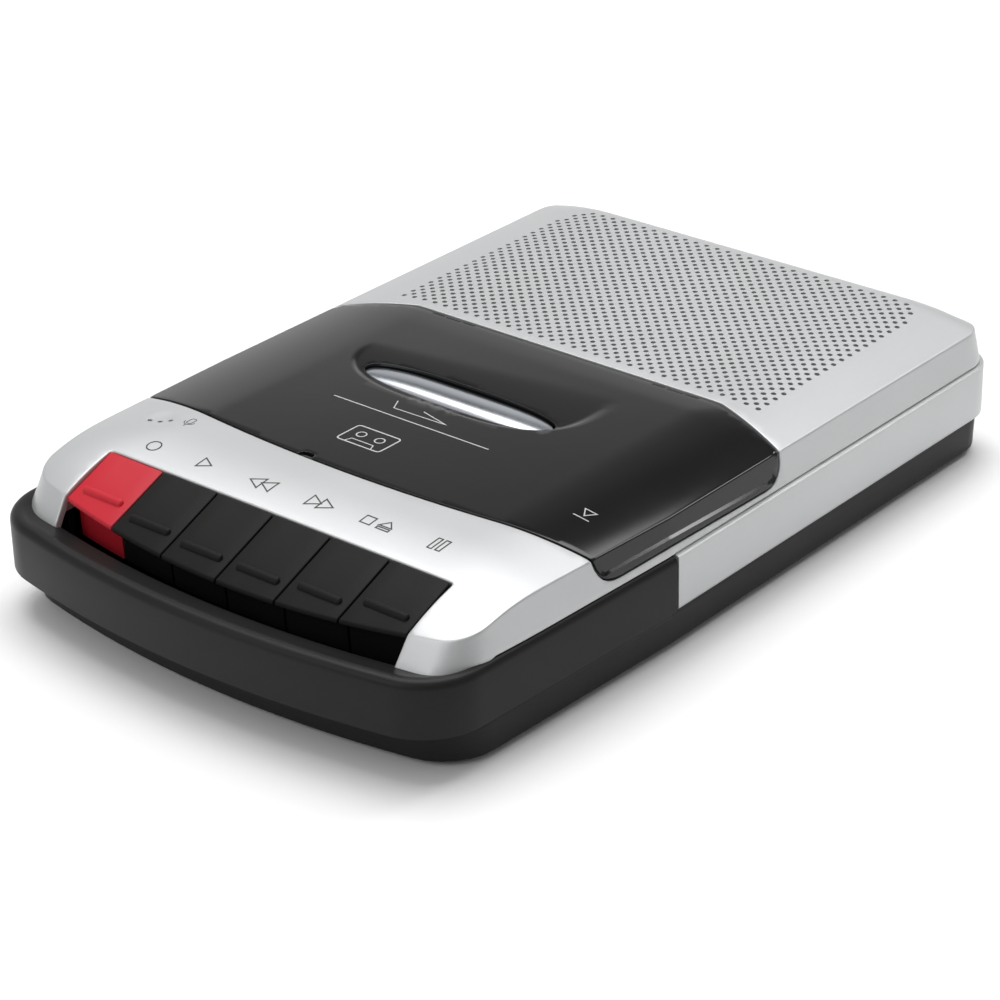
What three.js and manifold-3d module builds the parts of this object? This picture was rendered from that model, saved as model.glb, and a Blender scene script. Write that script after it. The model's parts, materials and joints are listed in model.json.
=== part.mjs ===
// Slimline portable cassette recorder, in millimetres.
// Frame: +X to the right of a person at the keys, +Y to the rear, +Z up.
// The origin lies under the middle of the case.
import * as THREE from "three";
import { mergeVertices } from "three/addons/utils/BufferGeometryUtils.js";
import Module from "manifold-3d";

const wasm = await Module();
wasm.setup();

// ---- Driving dimensions ----
const WIDTH = 157.6;
const LENGTH = 242;
const TOP_Z = 40.4; // flat top of the housing
const GAP = 0.4; // clearance between separate pieces
const WALL = 2;

const HALF = WIDTH / 2;
const FRONT_Y = -LENGTH / 2;
const REAR_Y = LENGTH / 2;
const FRONT_BOW_R = 309; // plan radius of the bowed front
const FRONT_CORNER_R = 18;
const REAR_CORNER_R = 12;
const TAPER_Y = -27; // the sides narrow in front of this line
const TAPER_ANGLE = Math.atan(3 / 72);

const CASE_Z = 1; // underside of the bottom case, on its feet
const CASE_TOP_Z = 11.3;
const BAND_Z0 = CASE_TOP_Z + GAP;
const BAND_Z1 = 26.9;
const HOUSING_Z = BAND_Z1 + GAP;
const CREASE = { x: HALF - 3, z: 36.5 }; // edge between the flank and the top
const FLAT_HALF = 48; // the top is flat this far out from the middle

const SLOPE_Y = -68; // the top starts to fall towards the keys here
const SLOPE_R = 75;
const REAR_ROUND_Y = 110;
const HOUSING_FRONT_BACK = 8.5; // how far the housing's front edge stands behind the handle's
const HOUSING_FRONT_LEAN = 7;

const DOOR_FRONT_Y = -61;
const DOOR_FRONT_R = 470;
const DOOR_REAR_Y = 26.5;
const DOOR_REAR_CORNER = { x: 52, y: 19 }; // from here out the rear edge slants forward to the flank
const DOOR_SIDE_Z = 29.8;
const DOOR_SKIN = 1.8;
const DOOR_GAP = 0.8;
const HINGE = { y: DOOR_REAR_Y - 0.6, z: TOP_Z - 1.4 };

const KEY_COUNT = 6;
const KEY_PITCH = 19;
const KEY_WIDTH = 18.5;
const KEY_REAR_Y = -86.2;
const KEY_FRONT_Y = -107;
const KEY_FRONT_R = 300;
const KEY_REAR_Z = 38.2;
const KEY_SLOPE = Math.tan((22 * Math.PI) / 180);
const KEY_LIP = 1.7;
const KEY_APRON_Z = 21;
const KEY_APRON_BACK = 3; // the apron hangs this far behind the key's lip
const KEY_SKIN = 2.2;
const KEY_RIDGE = { back: 5.4, halfX: 6, halfY: 0.8, height: 0.8 };
const KEY_WINDOW_HALF = (KEY_COUNT * KEY_PITCH) / 2 + 0.4;
const SHAFT = { y: -72, z: 24, r: 1.5 };

const DECK_Z = 25.5; // floor of the cassette well
const DECK_HALF = HALF - 10.6;
const DECK_FRONT_Y = -60;
const DECK_WALL_TOP = 31;
const WELL = { x: 54, y0: -46.5, y1: 21 };
const HEAD_TOP_Z = 35.6; // the heads and the pinch roller reach up into the cassette's mouth
const REEL = { x: 21.25, y: -12, hubR: 4, tableR: 14 };
const CAPSTAN = { x: 22, y: -41, r: 1.2 };
const FLYWHEEL_R = 22;
const MOTOR = { x: 50, y: 6, r: 13 };
const PULLEY_R = 4.5;
const DRIVE_Z = 6; // lower face of the flywheel and of the motor pulley
const DRIVE_H = 3.6;

const CELL = { r: 7.2, length: 50, pitch: 14.7, z: 10.6 };
const BAY = { x0: 6 - HALF, x1: 60 - HALF, y0: 28.5, y1: 89, top: 20.5 };
const SPEAKER = { x: 29, y: 71, r: 37, rimZ: 36.4 };

// ---- Materials ----
const paint = (color, roughness, metalness) => () =>
  new THREE.MeshStandardMaterial({ color, roughness, metalness });
const SILVER = paint(0xc6c8c9, 0.38, 0.45);
const BLACK = paint(0x2d2c2b, 0.55, 0);
const GLOSS_BLACK = paint(0x17181a, 0.12, 0);
const KEY_BLACK = paint(0x262423, 0.6, 0);
const RED = paint(0xc82a3c, 0.5, 0);
const SATIN_METAL = paint(0xc9ced4, 0.22, 0.9);
const STEEL = paint(0xa9abad, 0.35, 1);
const BRASS = paint(0xb08d4a, 0.3, 1);
const RUBBER = paint(0x1b1b1b, 0.9, 0);
const BOARD_GREEN = paint(0x2e5a36, 0.6, 0);
const NYLON = paint(0xe3dfd2, 0.5, 0);
const FERRITE = paint(0x34343a, 0.7, 0.2);
const PAPER = paint(0x3b3733, 0.95, 0);
const CELL_WRAP = paint(0x35506b, 0.4, 0.1);

// ---- Solids ----
function solid(geometry) {
  geometry.deleteAttribute("normal");
  geometry.deleteAttribute("uv");
  const merged = mergeVertices(geometry, 1e-4);
  const triVerts = new Uint32Array(merged.index.array);
  const vertProperties = merged.attributes.position.array;
  const made = new wasm.Manifold(new wasm.Mesh({ numProp: 3, vertProperties, triVerts }));
  if (made.volume() > 0) return made;
  // A profile drawn the other way round gives faces that point inwards: each is turned.
  return new wasm.Manifold(new wasm.Mesh({ numProp: 3, vertProperties, triVerts: triVerts.reverse() }));
}

const join = (first, ...rest) => rest.reduce((a, b) => a.add(b), first);
const cut = (first, ...rest) => rest.reduce((a, b) => a.subtract(b), first);

function box(x0, y0, z0, x1, y1, z1) {
  const g = new THREE.BoxGeometry(x1 - x0, y1 - y0, z1 - z0);
  return solid(g.translate((x0 + x1) / 2, (y0 + y1) / 2, (z0 + z1) / 2));
}

// A cylinder along one axis, from one end to the other on that axis.
function rod(axis, centre, from, to, r, sides = 24) {
  const g = new THREE.CylinderGeometry(r, r, to - from, sides);
  const mid = (from + to) / 2;
  if (axis === "x") g.rotateZ(Math.PI / 2).translate(mid, centre[0], centre[1]);
  if (axis === "y") g.translate(centre[0], mid, centre[1]);
  if (axis === "z") g.rotateX(Math.PI / 2).translate(centre[0], centre[1], mid);
  return solid(g);
}

// A turned piece about a vertical axis: profile points are [radius, height].
function turned(x, y, profile, sides = 32) {
  const points = profile.map(([r, z]) => new THREE.Vector2(r, z));
  return solid(new THREE.LatheGeometry(points, sides).rotateX(Math.PI / 2).translate(x, y, 0));
}

// A plain wheel with a bore, turning about a vertical axis.
function wheel(x, y, bore, r, z0, z1, sides = 24) {
  return turned(x, y, [[bore, z0], [r, z0], [r, z1], [bore, z1], [bore, z0]], sides);
}

// A prism whose section is drawn in Y and Z, running along X.
function prismX(section, x0, x1) {
  const shape = new THREE.Shape(section.map(([y, z]) => new THREE.Vector2(y, z)));
  const g = new THREE.ExtrudeGeometry(shape, { depth: x1 - x0, bevelEnabled: false });
  const toX = new THREE.Matrix4().set(0, 0, 1, x0, 1, 0, 0, 0, 0, 1, 0, 0, 0, 0, 0, 1);
  return solid(g.applyMatrix4(toX));
}

// A prism whose section is drawn in X and Z, running along Y.
function prismY(section, y0, y1) {
  const shape = new THREE.Shape(section.map(([x, z]) => new THREE.Vector2(x, z)));
  const g = new THREE.ExtrudeGeometry(shape, { depth: y1 - y0, bevelEnabled: false });
  return solid(g.rotateX(Math.PI / 2).translate(0, y1, 0));
}

// A prism whose outline is drawn in X and Y.
function prismZ(outline, z0, z1) {
  const shape = new THREE.Shape(outline.map(([x, y]) => new THREE.Vector2(x, y)));
  const g = new THREE.ExtrudeGeometry(shape, { depth: z1 - z0, bevelEnabled: false });
  return solid(g.translate(0, 0, z0));
}

function arc(cx, cy, r, a0, a1, steps) {
  return Array.from({ length: steps + 1 }, (_, i) => {
    const a = a0 + ((a1 - a0) * i) / steps;
    return [cx + r * Math.cos(a), cy + r * Math.sin(a)];
  });
}

// The plan outline of the case, pulled in by inset all round.
// Its bowed front lies a further frontBack behind.
function caseOutline(inset, frontBack = 0) {
  const bowR = FRONT_BOW_R - inset;
  const bowY = FRONT_Y + frontBack + FRONT_BOW_R;
  const cornerR = FRONT_CORNER_R - inset;
  const nx = Math.cos(TAPER_ANGLE);
  const ny = -Math.sin(TAPER_ANGLE);
  // The corner's centre lies one radius inside both the tapered side and the bowed front.
  const sideX = HALF - FRONT_CORNER_R / nx;
  const slope = Math.tan(TAPER_ANGLE);
  const reach = FRONT_BOW_R - FRONT_CORNER_R;
  const offset = sideX + slope * (bowY - TAPER_Y);
  const b = offset * slope;
  const c = offset * offset - reach * reach;
  const drop = (b + Math.sqrt(b * b - (1 + slope * slope) * c)) / (1 + slope * slope);
  const cornerY = bowY - drop;
  const cornerX = sideX + slope * (cornerY - TAPER_Y);
  const bowAngle = Math.atan2(cornerY - bowY, cornerX);
  const sideAngle = Math.atan2(ny, nx);
  const bow = arc(0, bowY, bowR, -Math.PI / 2, bowAngle, 8);
  const front = arc(cornerX, cornerY, cornerR, bowAngle, sideAngle, 6).slice(1);
  const knee = [[HALF - inset, TAPER_Y]];
  const rearX = HALF - REAR_CORNER_R;
  const rear = arc(rearX, REAR_Y - REAR_CORNER_R, REAR_CORNER_R - inset, 0, Math.PI / 2, 6);
  const right = [...bow, ...front, ...knee, ...rear];
  const left = right.slice(1).map(([x, y]) => [-x, y]).reverse();
  return [...right, ...left];
}

// A solid through stacked outlines of the case: layers are {z, inset, back}.
function stacked(layers) {
  const rings = layers.map((l) => caseOutline(l.inset, l.back ?? 0));
  const n = rings[0].length;
  const points = rings.flatMap((ring, k) => ring.flatMap(([x, y]) => [x, y, layers[k].z]));
  const faces = [];
  for (let k = 0; k + 1 < rings.length; k++)
    for (let i = 0; i < n; i++) {
      const j = (i + 1) % n;
      const low = k * n;
      const high = low + n;
      faces.push(low + i, low + j, high + j, low + i, high + j, high + i);
    }
  const capOf = (ring) =>
    THREE.ShapeUtils.triangulateShape(ring.map(([x, y]) => new THREE.Vector2(x, y)), []);
  const last = (rings.length - 1) * n;
  for (const [a, b, c] of capOf(rings[0])) faces.push(c, b, a);
  for (const [a, b, c] of capOf(rings.at(-1))) faces.push(last + a, last + b, last + c);
  const g = new THREE.BufferGeometry();
  g.setAttribute("position", new THREE.Float32BufferAttribute(points, 3));
  g.setIndex(faces);
  return solid(g);
}

const root = new THREE.Group();

function place(name, body, material) {
  const mesh = body.getMesh();
  const g = new THREE.BufferGeometry();
  g.setAttribute("position", new THREE.BufferAttribute(new Float32Array(mesh.vertProperties), 3));
  g.setIndex(new THREE.BufferAttribute(new Uint32Array(mesh.triVerts), 1));
  g.computeVertexNormals();
  const part = new THREE.Mesh(g, material());
  part.name = name;
  root.add(part);
}

// ---- Shape of the upper casing ----
// The outer form of housing and door together, shrunk evenly by inset.
// It is where the plan, the cross section and the side view meet.
function upperForm(inset) {
  const top = TOP_Z - inset;
  const plan = stacked([
    { z: 12, inset: inset + 0.6, back: HOUSING_FRONT_BACK - HOUSING_FRONT_LEAN + inset },
    { z: HOUSING_Z, inset: inset + 1, back: HOUSING_FRONT_BACK + inset },
    { z: TOP_Z + 1, inset: inset + 3.6, back: HOUSING_FRONT_BACK + HOUSING_FRONT_LEAN * 1.6 + inset },
  ]);
  const rise = TOP_Z - CREASE.z;
  const run = CREASE.x + 4 - FLAT_HALF;
  const crossR = (run * run + rise * rise) / (2 * rise);
  const half = Math.asin(run / crossR);
  const shoulder = arc(FLAT_HALF, TOP_Z - crossR, crossR - inset, Math.PI / 2 - half, Math.PI / 2, 8);
  const mirrored = shoulder.map(([x, z]) => [-x, z]).reverse();
  const cross = prismY([[-90, 12], [90, 12], [90, 30], ...shoulder, ...mirrored, [-90, 30]], -130, 130);
  const fall = arc(SLOPE_Y, TOP_Z - SLOPE_R, SLOPE_R - inset, Math.PI / 2, Math.PI * 0.68, 8);
  const rearRun = REAR_Y - 2 - REAR_ROUND_Y;
  const rearR = (rearRun * rearRun + rise * rise) / (2 * rise);
  const rearHalf = Math.asin(rearRun / rearR);
  const rear = arc(REAR_ROUND_Y, TOP_Z - rearR, rearR - inset, Math.PI / 2 - rearHalf, Math.PI / 2, 5);
  const side = prismX([[-130, 12], [130, 12], [130, 30], ...rear, ...fall, [-130, 12.5]], -90, 90);
  const lid = box(-90, -130, 12, 90, 130, top);
  return plan.intersect(cross).intersect(side).intersect(lid);
}

// The ground that the door covers, seen from above, grown or shrunk by margin.
function doorOutline(margin) {
  const bowY = DOOR_FRONT_Y - margin + DOOR_FRONT_R;
  const reach = Math.asin(90 / DOOR_FRONT_R);
  const bow = arc(0, bowY, DOOR_FRONT_R, -Math.PI / 2 - reach, -Math.PI / 2 + reach, 10);
  const rearY = DOOR_REAR_Y + margin;
  const sideY = DOOR_REAR_CORNER.y + margin;
  const right = [[90, sideY], [CREASE.x, sideY], [DOOR_REAR_CORNER.x, rearY]];
  const left = right.map(([x, y]) => [-x, y]).reverse();
  return [...bow, ...right, ...left];
}

// ---- Casing ----
const SCREWS = [[-64, -56], [64, -56], [-45, 111], [45, 111]];
const FEET = [[-54, -92], [54, -92], [-60, 104], [60, 104]];
const FRONT_WALL_BACK = 8.5;
const BASE_INSET = 1.6; // the base stands this far inside the band
const BASE_FRONT_BACK = 5.6; // and this much further behind the handle's front

function bottomCase() {
  const outer = stacked([
    { z: CASE_Z, inset: 3, back: BASE_FRONT_BACK + 1 },
    { z: CASE_Z + 1, inset: 2, back: BASE_FRONT_BACK + 0.4 },
    { z: CASE_TOP_Z, inset: BASE_INSET, back: BASE_FRONT_BACK },
  ]);
  const hollow = stacked([
    { z: CASE_Z + WALL, inset: BASE_INSET + WALL, back: BASE_FRONT_BACK + WALL },
    { z: 20, inset: BASE_INSET + WALL, back: BASE_FRONT_BACK + WALL },
  ]);
  const frontHalf = box(-90, -130, 0, 90, TAPER_Y, 60);
  const ledge = stacked([
    { z: CASE_TOP_Z - WALL, inset: BASE_INSET, back: BASE_FRONT_BACK },
    { z: CASE_TOP_Z, inset: BASE_INSET, back: BASE_FRONT_BACK },
  ]).intersect(frontHalf);
  const deepFront = stacked([
    { z: CASE_TOP_Z - WALL, inset: 6.4, back: FRONT_WALL_BACK },
    { z: 26, inset: 6.4, back: FRONT_WALL_BACK },
  ]);
  const innerHollow = stacked([
    { z: 3, inset: 8.4, back: FRONT_WALL_BACK },
    { z: 30, inset: 8.4, back: FRONT_WALL_BACK },
  ]);
  const keyGap = box(-KEY_WINDOW_HALF - 2, -130, 14, KEY_WINDOW_HALF + 2, -90, 30);
  let shell = join(cut(outer, hollow), ledge, deepFront.intersect(frontHalf));
  shell = cut(shell, innerHollow.intersect(box(-90, -130, 3, 90, TAPER_Y + 1, 40)), keyGap);
  // Battery bay: four walls and a ceiling over an opening in the floor.
  const bayOuter = box(BAY.x0, BAY.y0, 2, BAY.x1, BAY.y1, BAY.top);
  const bayInner = box(BAY.x0 + 1.4, BAY.y0 + 0.9, 0, BAY.x1 - 1.4, BAY.y1 - 0.9, BAY.top - 1.4);
  shell = cut(join(shell, bayOuter), bayInner);
  for (const side of [-1, 1]) {
    const x = side * 62.5;
    shell = join(shell, box(x - 1.5, SHAFT.y - 4, 2.5, x + 1.5, SHAFT.y + 4, SHAFT.z + 4));
    shell = cut(shell, rod("x", [SHAFT.y, SHAFT.z], x - 3, x + 3, SHAFT.r + 0.2, 16));
  }
  for (const [x, y] of SCREWS) {
    shell = join(shell, rod("z", [x, y], 2, CASE_TOP_Z, 4.2, 16));
    shell = cut(shell, rod("z", [x, y], 0, 3.4, 3.1, 16), rod("z", [x, y], 3, 20, 1.6, 12));
  }
  for (const [x, y] of FEET) {
    shell = join(shell, rod("z", [x, y], 2, 4, 8, 16));
    shell = cut(shell, rod("z", [x, y], 0, 2.3, 6.3, 20));
  }
  return shell;
}

function sideBand() {
  const outer = stacked([
    { z: BAND_Z0, inset: 0.9 },
    { z: BAND_Z0 + 0.9, inset: 0.05 },
    { z: BAND_Z0 + 1, inset: 0 },
    { z: BAND_Z1 - 0.5, inset: 0 },
    { z: BAND_Z1, inset: 0.5 },
  ]);
  const inner = stacked([{ z: 0, inset: WALL }, { z: 60, inset: WALL }]);
  const rear = box(-90, TAPER_Y + 0.6, 0, 90, 130, 60);
  return cut(
    cut(outer, inner).intersect(rear),
    box(-90, VOLUME.y - 8, VOLUME.z - 0.6, -70, VOLUME.y + 8, VOLUME.z + VOLUME.h + 0.6),
    ...JACKS.map((y) => rod("x", [y, JACK_Z], -90, -70, 3.4, 16)),
    box(-90, INLET.y - 9.4, INLET.z - 5.4, -70, INLET.y + 9.4, INLET.z + 5.4),
  );
}

function upperHousing() {
  const shell = cut(upperForm(0), upperForm(WALL)).intersect(box(-90, -130, HOUSING_Z, 90, 130, 60));
  const doorway = prismZ(doorOutline(DOOR_GAP), DOOR_SIDE_Z - 0.5, 60);
  const keyWindow = box(-KEY_WINDOW_HALF, -130, 10, KEY_WINDOW_HALF, KEY_REAR_Y + GAP, 60);
  // The cheeks beside the keys are closed towards them.
  const cheeks = [-1, 1].map((side) => {
    const x = side * (KEY_WINDOW_HALF + 0.9);
    return upperForm(1).intersect(box(x - 0.9, -130, HOUSING_Z, x + 0.9, KEY_REAR_Y + 2, 60));
  });
  const floor = join(...[-1, 1].map((side) => {
    const edge = side * KEY_WINDOW_HALF;
    const [x0, x1] = [edge, side * 82].sort((a, b) => a - b);
    return upperForm(0.6).intersect(box(x0, -130, HOUSING_Z, x1, KEY_REAR_Y + 2, HOUSING_Z + 1.6));
  }));
  const closures = [...cheeks, floor].map((piece) => cut(piece, keyWindow));
  return join(cut(shell, doorway, keyWindow), ...closures);
}

const HANDLE_ARM = 4.2; // thickness of the side arms
const HANDLE_BAR = 9.4; // depth of the front bar
const RAIL = { x0: HALF - 6, x1: HALF - 4.1, y0: -45, y1: 36, z0: 12.2, z1: 15.4 };

function carryingHandle() {
  const outer = stacked([
    { z: BAND_Z0, inset: 0.5 },
    { z: BAND_Z0 + 0.5, inset: 0 },
    { z: BAND_Z1 - 1.8, inset: 0 },
    { z: BAND_Z1 - 0.6, inset: 0.5 },
    { z: BAND_Z1, inset: 1.7 },
  ]);
  const inner = stacked([
    { z: 0, inset: HANDLE_ARM, back: HANDLE_BAR - HANDLE_ARM },
    { z: 60, inset: HANDLE_ARM, back: HANDLE_BAR - HANDLE_ARM },
  ]);
  // Behind its rim the top of the bar slopes down to the keys.
  const behindRim = stacked([
    { z: BAND_Z1 - 3.4, inset: HANDLE_ARM, back: HANDLE_BAR - HANDLE_ARM - 0.6 },
    { z: BAND_Z1 + 0.4, inset: 3, back: 0 },
  ]);
  const frontHalf = box(-90, -130, 0, 90, TAPER_Y, 60);
  const slope = behindRim.intersect(box(-90, -130, 0, 90, -95, 60));
  let handle = cut(outer, inner, slope).intersect(frontHalf);
  for (const side of [-1, 1]) {
    const xs = [side * RAIL.x0, side * (RAIL.x1 + 0.6)].sort((a, b) => a - b);
    handle = join(handle, box(xs[0], RAIL.y0, RAIL.z0, xs[1], TAPER_Y, RAIL.z1));
    const thin = [side * RAIL.x0, side * RAIL.x1].sort((a, b) => a - b);
    handle = join(handle, box(thin[0], TAPER_Y - 1, RAIL.z0, thin[1], RAIL.y1, RAIL.z1));
  }
  return handle;
}

function batteryDoor() {
  const x0 = BAY.x0 + 1.8;
  const x1 = BAY.x1 - 1.8;
  const panel = box(x0, BAY.y0 + 1.3, CASE_Z, x1, BAY.y1 - 1.3, 2.6);
  const grooves = [0, 1, 2, 3].map((i) =>
    box(x1 - 10, BAY.y0 + 24 + i * 3.4, 0, x1 - 3, BAY.y0 + 25.4 + i * 3.4, CASE_Z + 0.6),
  );
  return cut(panel, ...grooves);
}

function caseScrew(x, y) {
  const screw = turned(x, y, [[0, 1.4], [2.8, 1.4], [2.8, 2.2], [1.3, 3.1], [1.3, 10], [0, 11]], 12);
  const cross = [[1.8, 0.3], [0.3, 1.8]].map(([dx, dy]) => box(x - dx, y - dy, 0, x + dx, y + dy, 2));
  return cut(screw, ...cross);
}

function placeCasing() {
  place("bottom_case", bottomCase(), BLACK);
  place("side_band", sideBand(), SILVER);
  place("upper_housing", upperHousing(), SILVER);
  place("carrying_handle", carryingHandle(), BLACK);
  place("battery_door", batteryDoor(), BLACK);
  SCREWS.forEach(([x, y], i) => place(`case_screw_${i + 1}`, caseScrew(x, y), STEEL));
  FEET.forEach(([x, y], i) =>
    place(`rubber_foot_${i + 1}`, turned(x, y, [[0, 0], [5.2, 0], [6, 0.8], [6, 2], [0, 2]], 20), RUBBER),
  );
}

// ---- Cassette door ----
const KNUCKLE_X = 38;
const KNUCKLE_R = 1.25;
const PIN_R = 0.65;
const INSERT = { x: -5.3, y: -10.8, halfX: 31.4, halfY: 5.7, z: TOP_Z - 1.5, halfZ: 1.5 };
const HOLDER = { x: 52.4, y0: -45, y1: 18, z0: 26.6, z1: TOP_Z - 2 - GAP };
const LATCH_X = -13;
const LATCH_LIP_Z = TOP_Z - 4.4; // the lip hangs no lower than the heads reach up

function insertForm(grow) {
  const g = new THREE.SphereGeometry(1, 24, 10);
  g.scale(INSERT.halfX + grow, INSERT.halfY + grow, INSERT.halfZ + grow);
  return solid(g.translate(INSERT.x, INSERT.y, INSERT.z));
}

function doorLug(x, width, far) {
  return join(
    rod("x", [HINGE.y, HINGE.z], x - width / 2, x + width / 2, KNUCKLE_R, 16),
    box(x - width / 2, far, HINGE.z - KNUCKLE_R, x + width / 2, HINGE.y, HINGE.z),
  );
}

function cassetteDoor() {
  const region = prismZ(doorOutline(0), DOOR_SIDE_Z, 60);
  let door = cut(upperForm(0), upperForm(DOOR_SKIN)).intersect(region);
  const lipY = DOOR_FRONT_Y + 1.4;
  const catchLip = box(LATCH_X - 3, lipY, LATCH_LIP_Z, LATCH_X + 3, lipY + 1.4, TOP_Z - 1);
  door = join(cut(door, insertForm(0.3)), catchLip);
  for (const side of [-1, 1]) {
    const x = side * KNUCKLE_X;
    door = cut(door, box(x - 8, HINGE.y - 2.4, 0, x + 8, 60, 60));
    door = join(door, doorLug(x, 5, HINGE.y - 4));
    door = cut(door, rod("x", [HINGE.y, HINGE.z], x - 4, x + 4, PIN_R + 0.12, 12));
  }
  return door;
}

// The two ears of each hinge stand on the deck's rear wall.
function hingeEars() {
  return [-1, 1].flatMap((side) =>
    [-5.4, 5.4].map((dx) => {
      const x = side * KNUCKLE_X + dx;
      const knuckle = rod("x", [HINGE.y, HINGE.z], x - 2.2, x + 2.2, KNUCKLE_R, 16);
      const stem = box(x - 2.2, HINGE.y - 0.6, 30, x + 2.2, HINGE.y + 1.2, HINGE.z);
      return cut(join(knuckle, stem), rod("x", [HINGE.y, HINGE.z], x - 3, x + 3, PIN_R + 0.12, 12));
    }),
  );
}

function cassetteHolder() {
  const body = box(-HOLDER.x, HOLDER.y0, HOLDER.z0, HOLDER.x, HOLDER.y1, HOLDER.z1);
  const [front, rear] = [HOLDER.y0 - 2, HOLDER.y1 + 2];
  const wide = HOLDER.x - 1.2;
  const tunnel = box(-wide, front, HOLDER.z0 + 1, wide, rear, HOLDER.z1 - 1);
  const rails = HOLDER.x - 4; // the cassette rests on a rail this far in from each side
  const underside = box(-rails, front, 0, rails, rear, HOLDER.z0 + 2);
  const insertRoom = box(-40, INSERT.y - 10, HOLDER.z1 - 3, 30, INSERT.y + 10, HOLDER.z1 + 1);
  const stop = box(-rails, HOLDER.y1 - 1.2, HOLDER.z1 - 7, rails, HOLDER.y1, HOLDER.z1);
  return join(cut(body, tunnel, underside, insertRoom), stop);
}

function placeDoor() {
  place("cassette_door", cassetteDoor(), GLOSS_BLACK);
  place("door_insert", insertForm(0), SATIN_METAL);
  place("cassette_holder", cassetteHolder(), BLACK);
  for (const [side, label] of [[-1, "left"], [1, "right"]]) {
    const x = side * KNUCKLE_X;
    place(`hinge_pin_${label}`, rod("x", [HINGE.y, HINGE.z], x - 7.4, x + 7.4, PIN_R, 12), STEEL);
  }
  // A bent leaf on the deck lifts the door when the latch lets go.
  const leaf = [[9, 31.3], [21, 31.3], [21, 31.9], [12.5, 31.9], [4, 35.2], [3.6, 34.7]];
  place("door_lift_spring", prismX(leaf, -66, -58), STEEL);
  const hook = [
    [DOOR_FRONT_Y - 4, 30], [DOOR_FRONT_Y + 0.2, 30], [DOOR_FRONT_Y + 0.2, 34],
    [DOOR_FRONT_Y + 1, 34.6], [DOOR_FRONT_Y + 1, 35.8], [DOOR_FRONT_Y - 1, 36.8], [DOOR_FRONT_Y - 4, 36.8],
  ];
  place("door_latch", prismX(hook, LATCH_X - 2.4, LATCH_X + 2.4), STEEL);
}

// ---- Keys ----
const KEY_NAMES = ["record_key", "play_key", "rewind_key", "fast_forward_key", "stop_eject_key", "pause_key"];
const keyX = (i) => (i - (KEY_COUNT - 1) / 2) * KEY_PITCH;

function keyRidge(x, y, topAt) {
  const { halfX, halfY, height } = KEY_RIDGE;
  const shoulder = height - 0.5;
  const section = [
    [y + halfY, topAt(y) - 1], [y + halfY, topAt(y) + shoulder], [y + 0.5, topAt(y) + height],
    [y - 0.2, topAt(y) + height], [y - halfY, topAt(y) + shoulder], [y - halfY, topAt(y) - 1],
  ];
  return prismX(section, x - halfX, x + halfX);
}

function pianoKey(x) {
  const bow = KEY_FRONT_R - Math.sqrt(KEY_FRONT_R ** 2 - x ** 2);
  const front = KEY_FRONT_Y + bow;
  const topAt = (y) => KEY_REAR_Z - KEY_SLOPE * (KEY_REAR_Y - y);
  const apron = front + KEY_APRON_BACK;
  const section = [
    [KEY_REAR_Y, topAt(KEY_REAR_Y)], [front, topAt(front)], [front, topAt(front) - KEY_LIP],
    [apron - 0.6, topAt(front) - KEY_LIP - 0.2], [apron, KEY_APRON_Z], [apron + 1.8, KEY_APRON_Z],
    [apron + 1.4, topAt(apron + 1.4) - KEY_SKIN], [KEY_REAR_Y - 3, topAt(KEY_REAR_Y - 3) - KEY_SKIN],
    [KEY_REAR_Y - 3, 30], [KEY_REAR_Y, 30],
  ];
  const cap = prismX(section.reverse(), x - KEY_WIDTH / 2, x + KEY_WIDTH / 2);
  const arm = prismX(
    [[SHAFT.y + 3.4, SHAFT.z - 3], [SHAFT.y + 3.4, SHAFT.z + 3], [KEY_REAR_Y + 2, 34], [KEY_REAR_Y - 2, 34],
      [KEY_REAR_Y - 2, SHAFT.z + 2], [SHAFT.y - 5, SHAFT.z - 3]],
    x - 3, x + 3,
  );
  const key = join(cap, arm, keyRidge(x, front + KEY_RIDGE.back, topAt));
  return cut(key, rod("x", [SHAFT.y, SHAFT.z], x - 4, x + 4, SHAFT.r + 0.2, 16));
}

// One comb of spring steel: each finger bears up under its key's arm.
function keySpringComb() {
  const fingers = Array.from({ length: KEY_COUNT }, (_, i) =>
    prismX([[SHAFT.y - 2, 16], [SHAFT.y - 2, 16.5], [SHAFT.y - 9, 22.2], [SHAFT.y - 9.4, 21.9]].reverse(),
      keyX(i) - 2, keyX(i) + 2),
  );
  return join(box(-60, SHAFT.y - 3, 16, 60, SHAFT.y + 6, 16.5), ...fingers);
}

function placeKeys() {
  KEY_NAMES.forEach((name, i) => place(name, pianoKey(keyX(i)), i === 0 ? RED : KEY_BLACK));
  place("key_shaft", rod("x", [SHAFT.y, SHAFT.z], -65, 65, SHAFT.r, 16), STEEL);
  place("key_spring_comb", keySpringComb(), STEEL);
}

// ---- Tape deck ----
function deckPlate() {
  const plate = box(-DECK_HALF, DECK_FRONT_Y, DECK_Z - 2, DECK_HALF, DOOR_REAR_Y - 1, DECK_Z);
  const blocks = [-1, 1].map((side) => {
    const xs = [side * WELL.x, side * DECK_HALF].sort((a, b) => a - b);
    return box(xs[0], WELL.y0, DECK_Z - 1, xs[1], DOOR_REAR_Y - 1, DECK_WALL_TOP);
  });
  const rearWall = box(-DECK_HALF, WELL.y1, DECK_Z - 1, DECK_HALF, DOOR_REAR_Y - 1, DECK_WALL_TOP);
  const earWall = box(-50, DOOR_REAR_Y - 3, DECK_Z - 1, 50, DOOR_REAR_Y + 0.6, DECK_WALL_TOP);
  const holes = [
    rod("z", [-REEL.x, REEL.y], 20, 30, 6, 20),
    rod("z", [REEL.x, REEL.y], 20, 30, 6, 20),
    rod("z", [CAPSTAN.x, CAPSTAN.y], 20, 30, 1.6, 12),
  ];
  return cut(join(plate, ...blocks, rearWall, earWall, ...hingeEars()), ...holes);
}

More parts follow.
